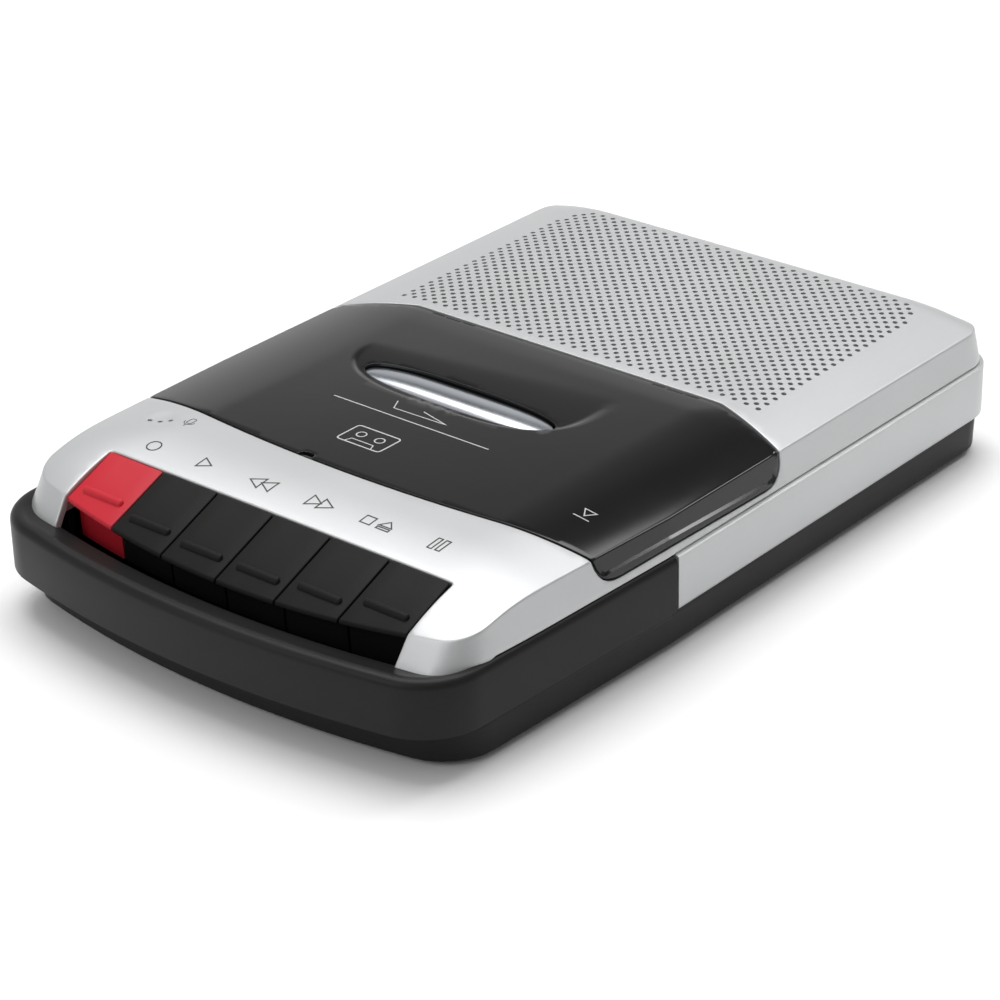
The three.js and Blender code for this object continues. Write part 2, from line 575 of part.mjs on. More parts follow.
function reelSpindle(x) {
  const stem = turned(x, REEL.y, [
    [0, 18.6], [REEL.tableR, 18.6], [REEL.tableR, 22.2], [REEL.hubR, 22.6],
    [REEL.hubR, 27], [2.4, 27.4], [2.4, 32.4], [1.2, 33.6], [0, 33.6],
  ], 28);
  const splines = [0, 1, 2].map((i) => {
    const g = new THREE.BoxGeometry(6.6, 0.9, 4.6).rotateZ((i * Math.PI) / 3);
    return solid(g.translate(x, REEL.y, 29.4));
  });
  return join(stem, ...splines);
}

const BRIDGE_TRAVEL = 6;
const PINCH = { x: CAPSTAN.x, y: CAPSTAN.y - CAPSTAN.r - 5.5 - 0.3 - BRIDGE_TRAVEL, r: 5.5 };

function headBridge() {
  const plate = box(-30, -59, 26, 34, -50, 27.2);
  return cut(plate, box(-26, -57.6, 20, -20, -55, 30), box(8, -57.6, 20, 14, -55, 30));
}

function recordPlayHead() {
  const nose = arc(0, -50.5, 3.4, 0, Math.PI, 8);
  return prismZ([[-6, -57.5], [6, -57.5], [6, -50.5], ...nose, [-6, -50.5]], 27.6, HEAD_TOP_Z);
}

function eraseHead() {
  const nose = arc(-17, -51, 2, 0, Math.PI, 6);
  return prismZ([[-20.5, -56.5], [-13.5, -56.5], [-13.5, -51], ...nose, [-20.5, -51]], 27.6, HEAD_TOP_Z - 1);
}

function pinchArm() {
  const arm = box(PINCH.x - 1.6, PINCH.y - 3, 27.6, PINCH.x + 9, PINCH.y + 2.4, 28.8);
  const peg = rod("z", [PINCH.x, PINCH.y], 28, HEAD_TOP_Z + 0.4, 1, 12);
  return join(arm, peg);
}

function placeDeck() {
  place("deck_plate", deckPlate(), BLACK);
  place("supply_spindle", reelSpindle(-REEL.x), NYLON);
  place("takeup_spindle", reelSpindle(REEL.x), NYLON);
  place("head_bridge", headBridge(), STEEL);
  place("record_play_head", recordPlayHead(), SATIN_METAL);
  place("erase_head", eraseHead(), KEY_BLACK);
  place("pinch_roller_arm", pinchArm(), STEEL);
  place("pinch_roller", wheel(PINCH.x, PINCH.y, 1.3, PINCH.r, 29.2, HEAD_TOP_Z), RUBBER);
  place("capstan_shaft", rod("z", [CAPSTAN.x, CAPSTAN.y], 4.4, HEAD_TOP_Z, CAPSTAN.r, 16), STEEL);
  const bore = CAPSTAN.r + 0.2;
  const flywheel = turned(CAPSTAN.x, CAPSTAN.y, [
    [bore, DRIVE_Z - 0.6], [5, DRIVE_Z - 0.6], [5, DRIVE_Z], [FLYWHEEL_R, DRIVE_Z],
    [FLYWHEEL_R, DRIVE_Z + DRIVE_H], [4, DRIVE_Z + DRIVE_H], [4, 22.2], [bore, 22.2], [bore, DRIVE_Z - 0.6],
  ], 40);
  place("flywheel", flywheel, BRASS);
  const idlerR = (REEL.y - REEL.tableR - (CAPSTAN.y + 4) - 2 * GAP) / 2;
  const idlerY = CAPSTAN.y + 4 + GAP + idlerR;
  const idlerX = CAPSTAN.x - 0.4;
  place("idler_wheel", wheel(idlerX, idlerY, 1, idlerR, 18.8, 22), RUBBER);
  place("idler_post", rod("z", [idlerX, idlerY], 16.6, 23.2, 0.8, 10), STEEL);
}

// ---- Drive and power ----
// A flat belt drawn tight round the flywheel and the motor pulley.
function driveBelt() {
  const clear = GAP;
  const thick = 1;
  const dx = MOTOR.x - CAPSTAN.x;
  const dy = MOTOR.y - CAPSTAN.y;
  const span = Math.hypot(dx, dy);
  const along = Math.atan2(dy, dx);
  const lean = Math.acos((FLYWHEEL_R - PULLEY_R) / span);
  const loop = (grow) => [
    ...arc(CAPSTAN.x, CAPSTAN.y, FLYWHEEL_R + grow, along + lean, along + 2 * Math.PI - lean, 28),
    ...arc(MOTOR.x, MOTOR.y, PULLEY_R + grow, along - lean, along + lean, 8),
  ];
  const z0 = DRIVE_Z + 0.6;
  const z1 = DRIVE_Z + DRIVE_H - 0.6;
  return cut(prismZ(loop(clear + thick), z0, z1), prismZ(loop(clear), z0 - 1, z1 + 1));
}

function placeDrive() {
  const can = [[0, 10.4], [4, 10.4], [4, 11.2], [MOTOR.r, 11.2], [MOTOR.r, 23], [0, 23]];
  const shaft = rod("z", [MOTOR.x, MOTOR.y], 5, 11, 0.9, 10);
  place("motor", join(turned(MOTOR.x, MOTOR.y, can, 32), shaft), STEEL);
  place("motor_pulley", wheel(MOTOR.x, MOTOR.y, 1.1, PULLEY_R, DRIVE_Z, DRIVE_Z + DRIVE_H, 20), BRASS);
  place("drive_belt", driveBelt(), RUBBER);
  const cellX0 = (BAY.x0 + BAY.x1 - CELL.length) / 2;
  for (let i = 0; i < 4; i++) {
    const y = (BAY.y0 + BAY.y1) / 2 + (i - 1.5) * CELL.pitch;
    const flip = i % 2 === 1;
    const cell = rod("x", [y, CELL.z], cellX0 + 0.7, cellX0 + CELL.length - 0.7, CELL.r, 20);
    const capX = flip ? cellX0 + 0.1 : cellX0 + CELL.length - 1;
    place(`battery_cell_${i + 1}`, join(cell, rod("x", [y, CELL.z], capX, capX + 0.9, 2.6, 12)), CELL_WRAP);
  }
  for (const [label, x] of [["left", BAY.x0 + 1.6], ["right", BAY.x1 - 2]]) {
    place(`battery_contact_${label}`, box(x, BAY.y0 + 2, 5, x + 0.3, BAY.y1 - 2, 16), SATIN_METAL);
  }
  const core = box(-65, 52, 21.5, -33, 80, 31);
  const coil = box(-59, 48, 24, -39, 84, 29);
  place("mains_transformer", join(core, coil), FERRITE);
}

// ---- Electronics ----
const VOLUME = { x: 9.4 - HALF, y: -9, r: 9, z: 17, h: 4 };
const JACKS = [9, 22];
const JACK_Z = 19.4;
const INLET = { y: 100, z: 19 };

function speakerFrame() {
  const basket = [
    [10, 20.6], [19, 20.6], [33, SPEAKER.rimZ - 1.6], [SPEAKER.r, SPEAKER.rimZ - 1.6],
    [SPEAKER.r, SPEAKER.rimZ], [31.5, SPEAKER.rimZ], [18, 22.4], [10, 22.4], [10, 20.6],
  ];
  return turned(SPEAKER.x, SPEAKER.y, basket, 32);
}

function placeElectronics() {
  const board = box(10 - HALF, -46, 13.2, -3, 26, 14.8);
  place("main_board", board, BOARD_GREEN);
  place("speaker_frame", speakerFrame(), STEEL);
  const cone = [[0, 26.6], [8, 24.4], [29, 35.2], [29, 35.8], [8, 25.2], [0, 27.4]];
  place("speaker_cone", turned(SPEAKER.x, SPEAKER.y, cone, 28), PAPER);
  place("speaker_magnet", rod("z", [SPEAKER.x, SPEAKER.y], 11, 20.2, 17, 28), FERRITE);
  place("volume_wheel", rod("z", [VOLUME.x, VOLUME.y], VOLUME.z, VOLUME.z + VOLUME.h, VOLUME.r, 36), BLACK);
  for (const [label, y] of [["microphone", JACKS[0]], ["earphone", JACKS[1]]]) {
    const collar = rod("x", [y, JACK_Z], 0.6 - HALF, 7 - HALF, 3, 16);
    const socketBody = box(3.2 - HALF, y - 3.6, JACK_Z - 3.4, -64, y + 3.6, JACK_Z + 3.4);
    const bore = rod("x", [y, JACK_Z], -82, -68, 1.8, 12);
    place(`${label}_jack`, cut(join(collar, socketBody), bore), SATIN_METAL);
  }
  const inlet = box(0.4 - HALF, INLET.y - 9, INLET.z - 5, -64, INLET.y + 9, INLET.z + 5);
  const socket = join(...[-3.4, 3.4].map((d) => rod("x", [INLET.y + d, INLET.z], -82, -68, 3.6, 16)));
  const pins = join(...[-3.4, 3.4].map((d) => rod("x", [INLET.y + d, INLET.z], -76, -66, 1, 8)));
  place("mains_inlet", join(cut(inlet, socket), pins), BLACK);
  place("microphone_capsule", rod("z", [-56.7, -67.5], 29.5, 35.8, 4.6, 16), SATIN_METAL);
}

placeCasing();
placeDoor();
placeKeys();
placeDeck();
placeDrive();
placeElectronics();

export default root;
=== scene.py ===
"""A slimline portable cassette recorder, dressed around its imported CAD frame."""

import json
import math

import bmesh
import bpy
import numpy as np
from mathutils import Matrix, Vector
from mathutils.geometry import delaunay_2d_cdt


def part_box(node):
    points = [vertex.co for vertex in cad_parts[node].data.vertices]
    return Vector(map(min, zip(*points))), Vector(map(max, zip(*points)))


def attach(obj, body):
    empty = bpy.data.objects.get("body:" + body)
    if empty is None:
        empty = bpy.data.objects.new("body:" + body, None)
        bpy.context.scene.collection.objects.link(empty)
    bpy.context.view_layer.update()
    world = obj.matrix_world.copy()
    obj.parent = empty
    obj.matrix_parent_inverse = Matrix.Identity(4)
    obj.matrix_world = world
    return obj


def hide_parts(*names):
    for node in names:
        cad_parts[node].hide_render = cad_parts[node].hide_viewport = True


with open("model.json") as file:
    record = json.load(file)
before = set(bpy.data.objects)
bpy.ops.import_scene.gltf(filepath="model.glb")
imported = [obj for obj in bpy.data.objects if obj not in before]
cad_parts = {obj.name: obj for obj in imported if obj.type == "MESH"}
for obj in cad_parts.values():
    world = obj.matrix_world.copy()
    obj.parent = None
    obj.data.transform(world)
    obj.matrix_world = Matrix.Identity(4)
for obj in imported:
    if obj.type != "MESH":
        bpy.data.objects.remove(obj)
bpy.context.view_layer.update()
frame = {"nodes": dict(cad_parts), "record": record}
MM = 0.001


# ---- Sizes, worked out from the frame, in millimetres ----
def box_mm(node):
    lo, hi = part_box(node)
    return np.array(lo) / MM, np.array(hi) / MM


BAND_LO, BAND_HI = box_mm("side_band")
HANDLE_LO, HANDLE_HI = box_mm("carrying_handle")
HOUSING_LO, HOUSING_HI = box_mm("upper_housing")
DOOR_LO = box_mm("cassette_door")[0]
INSERT_LO, INSERT_HI = box_mm("door_insert")
KEY_NODES = ["record_key", "play_key", "rewind_key", "fast_forward_key", "stop_eject_key", "pause_key"]
FIRST_KEY_LO, FIRST_KEY_HI = box_mm(KEY_NODES[0])
LAST_KEY_HI = box_mm(KEY_NODES[-1])[1]
SHAFT_LO, SHAFT_HI = box_mm("key_shaft")

HALF_WIDTH = BAND_HI[0]
FRONT_Y = HANDLE_LO[1]
REAR_Y = BAND_HI[1]
TOP_Z = HOUSING_HI[2]
PARTING_Z = HOUSING_LO[2]
TAPER_Y = BAND_LO[1] - 0.6  # the sides narrow in front of the band's front ends
TAPER_ANGLE = math.atan(3 / 72)
BOW_R = 309.0
FRONT_CORNER_R = 18.0
REAR_CORNER_R = 12.0
CREASE_CORNER_R = 13.5  # the crease turns tighter round the front tips than the handle does

CREASE_INSET = 3.0  # the crease between top and flank, inside the widest outline
CREASE_BACK = 10.0
CREASE_ROUND = 0.35  # half width of the crease's rounding
CREASE_DROP = 3.9
FLAT_HALF = 48.0
SLOPE_Y = -68.0
SLOPE_R = 75.0
REAR_ROUND_Y = 110.0
SIDE_LEAN = 0.2
FRONT_LEAN = 0.66

DOOR_FRONT_Y = DOOR_LO[1]
DOOR_REAR_Y = 26.5
DOOR_FRONT_R = 470.0
DOOR_FOOT_Z = (30.7, 29.2)  # height of the door's lower edge on the flanks, front and rear
DOOR_REAR_SLANT = (52.0, 19.0)
DOOR_GAP = 0.75
KEY_WIDTH = FIRST_KEY_HI[0] - FIRST_KEY_LO[0]
KEY_FRONT_Y = -107.8
KEY_FRONT_R = 300.0
KEY_LIP = 1.1
KEY_SLOPE_DEG = 22
KEY_WINDOW_HALF = LAST_KEY_HI[0] + 0.65
KEY_WINDOW_REAR = -85.8
TIP_DIP = 2.3  # the housing's front tips reach down behind the handle's rim


# ---- Plan outline and surface of the case ----
def arc(cx, cy, r, a0, a1, steps):
    a = np.linspace(a0, a1, steps + 1)
    return np.column_stack([cx + r * np.cos(a), cy + r * np.sin(a)])


def straight_run(start, end, steps):
    """Evenly spaced points from start to end, without the start itself."""
    return start + (end - start) * np.linspace(0, 1, steps + 1)[1:, None]


def case_outline(inset, back=0.0, fine=6, corner_r=FRONT_CORNER_R):
    """The plan outline from mid front round the right side: (points, index of the taper's knee)."""
    bow_y = FRONT_Y + back + BOW_R
    nx, slope = math.cos(TAPER_ANGLE), math.tan(TAPER_ANGLE)
    side_x = HALF_WIDTH - corner_r / nx
    reach = BOW_R - corner_r
    offset = side_x + slope * (bow_y - TAPER_Y)
    b = offset * slope
    c = offset ** 2 - reach ** 2
    drop = (b + math.sqrt(b * b - (1 + slope ** 2) * c)) / (1 + slope ** 2)
    cy = bow_y - drop
    cx = side_x + slope * (cy - TAPER_Y)
    bow_angle = math.atan2(cy - bow_y, cx)
    side_angle = math.atan2(-math.sin(TAPER_ANGLE), nx)
    bow = arc(0, bow_y, BOW_R - inset, -math.pi / 2, bow_angle, 8 * fine)
    corner = arc(cx, cy, corner_r - inset, bow_angle, side_angle, 4 * fine)[1:]
    knee = np.array([HALF_WIDTH - inset, TAPER_Y])
    taper = straight_run(corner[-1], knee, 8 * fine)
    rear_y = REAR_Y - REAR_CORNER_R
    straight = straight_run(knee, np.array([HALF_WIDTH - inset, rear_y]), 16 * fine)
    rear = arc(HALF_WIDTH - REAR_CORNER_R, rear_y, REAR_CORNER_R - inset, 0, math.pi / 2, 4 * fine)[1:]
    back_edge = straight_run(rear[-1], np.array([0.0, REAR_Y - inset]), 8 * fine)
    front_part = np.vstack([bow, corner, taper])
    return np.vstack([front_part, straight, rear, back_edge]), len(front_part) - 1


def whole(right):
    """A right half outline and its mirror image, as one closed loop."""
    return np.vstack([right, (right[1:-1] * [-1, 1])[::-1]])


def loop_normals(loop):
    """Outward normals of a closed loop that runs anticlockwise."""
    t = np.roll(loop, -1, axis=0) - np.roll(loop, 1, axis=0)
    n = np.column_stack([t[:, 1], -t[:, 0]])
    return n / np.linalg.norm(n, axis=1)[:, None]


def top_height(p):
    """Height of the top over plan points: flat, rounded at the sides and rear, and falling to the keys."""
    run = HALF_WIDTH - CREASE_INSET - FLAT_HALF
    cross_r = (run ** 2 + CREASE_DROP ** 2) / (2 * CREASE_DROP)
    out = np.clip(np.abs(p[:, 0]) - FLAT_HALF, 0, run + 2)
    side = cross_r - np.sqrt(cross_r ** 2 - out ** 2)
    ahead = np.clip(SLOPE_Y - p[:, 1], 0, 45)
    front = SLOPE_R - np.sqrt(SLOPE_R ** 2 - ahead ** 2)
    rear_run = REAR_Y - CREASE_INSET - REAR_ROUND_Y
    rear_r = (rear_run ** 2 + CREASE_DROP ** 2) / (2 * CREASE_DROP)
    behind = np.clip(p[:, 1] - REAR_ROUND_Y, 0, rear_run + 1)
    rear = rear_r - np.sqrt(rear_r ** 2 - behind ** 2)
    power = 1.5
    return TOP_Z - (side ** power + front ** power + rear ** power) ** (1 / power)


CREASE = whole(case_outline(CREASE_INSET, CREASE_BACK, 12, CREASE_CORNER_R)[0])
CREASE_N = loop_normals(CREASE)


def nearest_crease(p):
    """Index of the crease sample nearest to each plan point."""
    found = np.empty(len(p), int)
    for i in range(0, len(p), 2000):
        gap = ((p[i:i + 2000, None, :] - CREASE[None, :, :]) ** 2).sum(axis=2)
        found[i:i + 2000] = gap.argmin(axis=1)
    return found


def surface(p):
    """Maps the unfolded plan to the casing: top inside the crease, and outside it the flank laid flat."""
    p = np.asarray(p, float)
    i = nearest_crease(p)
    n = CREASE_N[i]
    d = ((p - CREASE[i]) * n).sum(axis=1)
    foot = p - n * d[:, None]
    foot_z = top_height(foot)
    lean = SIDE_LEAN + (FRONT_LEAN - SIDE_LEAN) * np.clip(-n[:, 1], 0, 1) ** 2

    def top(points):
        return np.column_stack([points, top_height(points)])

    def flank(depth):
        return np.column_stack([foot + n * (lean * depth)[:, None], foot_z - depth])

    w = CREASE_ROUND
    out = np.where((d > 0)[:, None], flank(d), top(p))
    q = np.clip((d + w) / (2 * w), 0, 1)[:, None]
    bend = (1 - q) ** 2 * top(foot - n * w)
    bend += 2 * q * (1 - q) * np.column_stack([foot, foot_z])
    bend += q ** 2 * flank(w)
    near = np.abs(d) < w
    out[near] = bend[near]
    return out


def lower_rim():
    """The closed loop in the unfolded plan where the flank ends, lower round the front tips."""
    dip = TIP_DIP * np.clip(-1.35 * CREASE_N[:, 1], 0, 1)
    depth = top_height(CREASE) - PARTING_Z + dip
    return CREASE + CREASE_N * depth[:, None]


# ---- Meshes ----
SHARP_DEG = 35.0  # edges sharper than this stay sharp, and are the ones a bevel rounds


def linked(name, mesh, smooth_deg=SHARP_DEG):
    obj = bpy.data.objects.new(name, mesh)
    bpy.context.scene.collection.objects.link(obj)
    shade(obj, smooth_deg)
    return obj


def new_object(name, verts, faces, smooth_deg=SHARP_DEG):
    mesh = bpy.data.meshes.new(name)
    points = [tuple(v * MM) for v in np.asarray(verts, float)]
    mesh.from_pydata(points, [], [tuple(map(int, f)) for f in faces])
    mesh.validate()
    mesh.update()
    return linked(name, mesh, smooth_deg)


def shade(obj, smooth_deg=SHARP_DEG):
    mesh = obj.data
    bm = bmesh.new()
    bm.from_mesh(mesh)
    bmesh.ops.recalc_face_normals(bm, faces=bm.faces)
    bm.to_mesh(mesh)
    bm.free()
    mesh.polygons.foreach_set("use_smooth", [True] * len(mesh.polygons))
    mesh.set_sharp_from_angle(angle=math.radians(smooth_deg))


def inside(loop, p):
    """Even-odd test of plan points against a closed loop."""
    x, y = p[:, 0], p[:, 1]
    result = np.zeros(len(p), bool)
    x0, y0 = loop[:, 0], loop[:, 1]
    x1, y1 = np.roll(x0, -1), np.roll(y0, -1)
    for ax, ay, bx, by in zip(x0, y0, x1, y1):
        if ay == by:
            continue
        crosses = ((ay > y) != (by > y)) & (x < (bx - ax) * (y - ay) / (by - ay) + ax)
        result ^= crosses
    return result


def is_anticlockwise(loop):
    x, y = loop[:, 0], loop[:, 1]
    return (x * np.roll(y, -1) - np.roll(x, -1) * y).sum() > 0


def resample(loop, step):
    """The closed loop with points at most step apart, keeping its corners."""
    out = []
    for a, b in zip(loop, np.roll(loop, -1, axis=0)):
        count = max(1, int(math.ceil(np.linalg.norm(b - a) / step)))
        out.extend(a + (b - a) * k / count for k in range(count))
    return np.array(out)


def rounded(points, radii, steps=6):
    """A closed loop through corner points, each rounded by its radius."""
    out = []
    count = len(points)
    for i, r in enumerate(radii):
        p = np.array(points[i], float)
        a = np.array(points[i - 1], float) - p
        b = np.array(points[(i + 1) % count], float) - p
        if r <= 0:
            out.append(p)
            continue
        a /= np.linalg.norm(a)
        b /= np.linalg.norm(b)
        half = math.acos(np.clip(a @ b, -1, 1)) / 2
        reach = r / math.tan(half)
        for t in np.linspace(0, 1, steps + 1):
            start, end = p + a * reach, p + b * reach
            out.append((1 - t) ** 2 * start + 2 * t * (1 - t) * p + t * t * end)
    return np.array(out)


def nearest_gap(points, others):
    """Distance from each point to the nearest of the others."""
    found = np.empty(len(points))
    for k in range(0, len(points), 2000):
        gap = ((points[k:k + 2000, None, :] - others[None, :, :]) ** 2).sum(axis=2)
        found[k:k + 2000] = np.sqrt(gap.min(axis=1))
    return found


def superellipse(cx, cy, rx, ry, power=2.4, steps=120, a0=0.0, a1=2 * math.pi):
    """Points of a rounded outline between an ellipse and a box."""
    a = np.linspace(a0, a1, steps + 1)
    c, s = np.cos(a), np.sin(a)
    x = np.sign(c) * np.abs(c) ** (2 / power)
    y = np.sign(s) * np.abs(s) ** (2 / power)
    return np.column_stack([cx + rx * x, cy + ry * y])


RING_SHARES = (0.0, 0.12, 0.35, 0.65, 1.0)
NO_EDGE = 9.0  # stands for the distance to an edge, away from every edge


def panel(name, outer, holes=(), pinholes=(), edge_round=0.6, step=2.5, thickness=1.8, lift=None, extra=(),
          edge_at=None):
    """A sheet of the casing cut out of the unfolded plan, with its edges rounded over and its back closed.

    outer and holes are closed loops, pinholes are small convex loops, lift(plan points) raises the surface,
    and edge_at(plan points) gives the rounding's radius where it varies."""
    points, edges, edge_gap, edge_size = [], [], [], []
    fences = []

    def add_ring(loop, gap, size):
        base = len(points)
        points.extend(loop)
        edge_gap.extend(gap)
        edge_size.extend(size)
        edges.extend((base + i, base + (i + 1) % len(loop)) for i in range(len(loop)))

    for loop, sign in [(outer, -1)] + [(h, 1) for h in holes]:
        loop = resample(loop, step * 0.6)
        if not is_anticlockwise(loop):
            loop = loop[::-1]
        n = loop_normals(loop) * sign
        size = edge_at(loop) if edge_at else np.full(len(loop), edge_round)
        for share in RING_SHARES:
            add_ring(loop + n * share * size[:, None], share * size, size)
        fences.append((loop + n * size[:, None], sign))
    pin_start = len(points)
    pin_id = []
    for k, loop in enumerate(pinholes):
        add_ring(loop, np.full(len(loop), NO_EDGE), np.ones(len(loop)))
        pin_id.extend([k] * len(loop))
    pin_end = len(points)

    # Free points: an even grid over the sheet, and rows that follow the crease.
    lo, hi = outer.min(axis=0), outer.max(axis=0)
    xs = np.arange(lo[0], hi[0] + step, step)
    ys = np.arange(lo[1], hi[1] + step, step * 0.87)
    grid = np.array([[x + (step / 2 if j % 2 else 0), y] for j, y in enumerate(ys) for x in xs])
    gaps = [CREASE_ROUND * k for k in (-2.2, -1.0, -0.5, 0.0, 0.5, 1.0, 2.2)]
    rows = np.vstack([CREASE[::2] + CREASE_N[::2] * g for g in gaps])
    i = nearest_crease(grid)
    off_crease = np.abs(((grid - CREASE[i]) * CREASE_N[i]).sum(axis=1)) > 2.2 * CREASE_ROUND + step * 0.4
    free = np.vstack([grid[off_crease], rows])
    if len(extra):
        extra = np.vstack(extra)
        free = np.vstack([free[nearest_gap(free, extra) > 0.45 * step], extra])
    for loop, sign in fences:
        keep = inside(loop, free)
        free = free[keep if sign < 0 else ~keep]
        free = free[nearest_gap(free, loop) > 0.3 * step]
    if len(pinholes):
        spots = np.array([h.mean(axis=0) for h in pinholes])
        free = free[nearest_gap(free, spots) > 2.4]
    points.extend(free)
    edge_gap.extend([NO_EDGE] * len(free))
    edge_size.extend([1.0] * len(free))

    made = delaunay_2d_cdt([Vector(p) for p in points], edges, [], 0, 1e-5, True)
    plan = np.array([[v[0], v[1]] for v in made[0]])
    origin = [ids[0] if ids else -1 for ids in made[3]]
    tris = np.array([f for f in made[2] if len(f) == 3])
    middle = plan[tris].mean(axis=1)
    keep = inside(resample(outer, step * 0.6), middle)
    for hole in holes:
        keep &= ~inside(resample(hole, step * 0.6), middle)
    pin = np.array([pin_id[o - pin_start] if pin_start <= o < pin_end else -1 for o in origin])
    corner = pin[tris]
    keep &= ~((corner[:, 0] >= 0) & (corner[:, 0] == corner[:, 1]) & (corner[:, 1] == corner[:, 2]))
    tris = tris[keep]

    skin = surface(plan)
    normal = np.zeros_like(skin)
    face_n = np.cross(skin[tris[:, 1]] - skin[tris[:, 0]], skin[tris[:, 2]] - skin[tris[:, 0]])
    for k in range(3):
        np.add.at(normal, tris[:, k], face_n)
    normal /= np.maximum(np.linalg.norm(normal, axis=1), 1e-12)[:, None]
    gap = np.array([edge_gap[o] if o >= 0 else NO_EDGE for o in origin])
    size = np.array([edge_size[o] if o >= 0 else 1.0 for o in origin])
    under = np.clip(size - gap, 0, size)
    drop = size - np.sqrt(np.maximum(size ** 2 - under ** 2, 0))
    raise_by = lift(plan) if lift is not None else np.zeros(len(plan))
    front = skin + normal * (raise_by - drop)[:, None]
    back = skin + normal * (np.minimum(raise_by, 0) - thickness)[:, None]

    used = np.unique(tris)
    count = len(plan)
    faces = [tuple(t) for t in tris] + [tuple(t[::-1] + count) for t in tris]
    seen = {}
    for t in tris:
        for a, b in ((t[0], t[1]), (t[1], t[2]), (t[2], t[0])):
            seen[(a, b)] = seen.get((a, b), 0) + 1
    for a, b in seen:
        if (b, a) not in seen:
            faces.append((b, a, a + count, b + count))
    keep_ids = np.concatenate([used, used + count])
    renumber = {int(v): k for k, v in enumerate(keep_ids)}
    verts = np.vstack([front, back])[keep_ids]
    faces = [tuple(renumber[int(v)] for v in f) for f in faces]
    return new_object(name, verts, faces)


def join_into(target, *others):
    """Joins other objects' meshes into target, as loose parts of one piece."""
    bm = bmesh.new()
    for obj in (target, *others):
        bm.from_mesh(obj.data)
    bm.to_mesh(target.data)
    bm.free()
    for obj in others:
        bpy.data.objects.remove(obj)
    target.data.polygons.foreach_set("use_smooth", [True] * len(target.data.polygons))
    target.data.set_sharp_from_angle(angle=math.radians(SHARP_DEG))
    return target


def block(name, lo, hi):
    x0, y0, z0 = lo
    x1, y1, z1 = hi
    verts = [(x, y, z) for z in (z0, z1) for y in (y0, y1) for x in (x0, x1)]
    faces = [(0, 2, 3, 1), (4, 5, 7, 6), (0, 1, 5, 4), (2, 6, 7, 3), (0, 4, 6, 2), (1, 3, 7, 5)]
    return new_object(name, verts, faces)


def bevelled(obj, width, segments=2):
    """Rounds an object's sharp edges, as a moulding's are, and applies the result."""
    mod = obj.modifiers.new("edge", "BEVEL")
    mod.width = width * MM
    mod.segments = segments
    mod.limit_method = "ANGLE"
    mod.angle_limit = math.radians(SHARP_DEG)
    mod.use_clamp_overlap = True
    return applied(obj)


def applied(obj):
    depsgraph = bpy.context.evaluated_depsgraph_get()
    mesh = bpy.data.meshes.new_from_object(obj.evaluated_get(depsgraph))
    obj.modifiers.clear()
    obj.data = mesh
    shade(obj)
    return obj


def cut_away(obj, *cutters):
    for cutter in cutters:
        mod = obj.modifiers.new("cut", "BOOLEAN")
        mod.operation = "DIFFERENCE"
        mod.solver = "EXACT"
        mod.object = cutter
        applied(obj)
        bpy.data.objects.remove(cutter)
    return obj


def cylinder(name, centre, axis, length, radius, sides=32):
    bm = bmesh.new()
    bmesh.ops.create_cone(bm, cap_ends=True, segments=sides, radius1=radius * MM, radius2=radius * MM,
                          depth=length * MM)
    turn = Vector((0, 0, 1)).rotation_difference(Vector(axis)).to_matrix().to_4x4()
    bmesh.ops.transform(bm, matrix=Matrix.Translation(Vector(centre) * MM) @ turn, verts=bm.verts)
    mesh = bpy.data.meshes.new(name)
    bm.to_mesh(mesh)
    bm.free()
    return linked(name, mesh)


def swept(name, section, span, fine=6):
    """A band round the case: section is a closed list of (inset, back, z), span picks outline samples."""
    rings = []
    for inset, back, z in section:
        right, knee = case_outline(inset, back, fine)
        path = span(right, knee)
        rings.append(np.column_stack([path, np.full(len(path), z)]))
    rows, cols = len(rings[0]), len(rings)
    verts = np.array([rings[k][i] for i in range(rows) for k in range(cols)])
    faces = []
    for i in range(rows - 1):
        for k in range(cols):
            a, b = i * cols + k, i * cols + (k + 1) % cols
            faces.append((a, b, b + cols, a + cols))
    faces.append(tuple(range(cols)))
    faces.append(tuple((rows - 1) * cols + k for k in range(cols))[::-1])
    return new_object(name, verts, faces)


# ---- Materials ----
def remapped(tree, source, low, high, to_low, to_high):
    node = tree.nodes.new("ShaderNodeMapRange")
    for key, value in (("From Min", low), ("From Max", high), ("To Min", to_low), ("To Max", to_high)):
        node.inputs[key].default_value = value
    tree.links.new(source, node.inputs["Value"])
    return node.outputs["Result"]


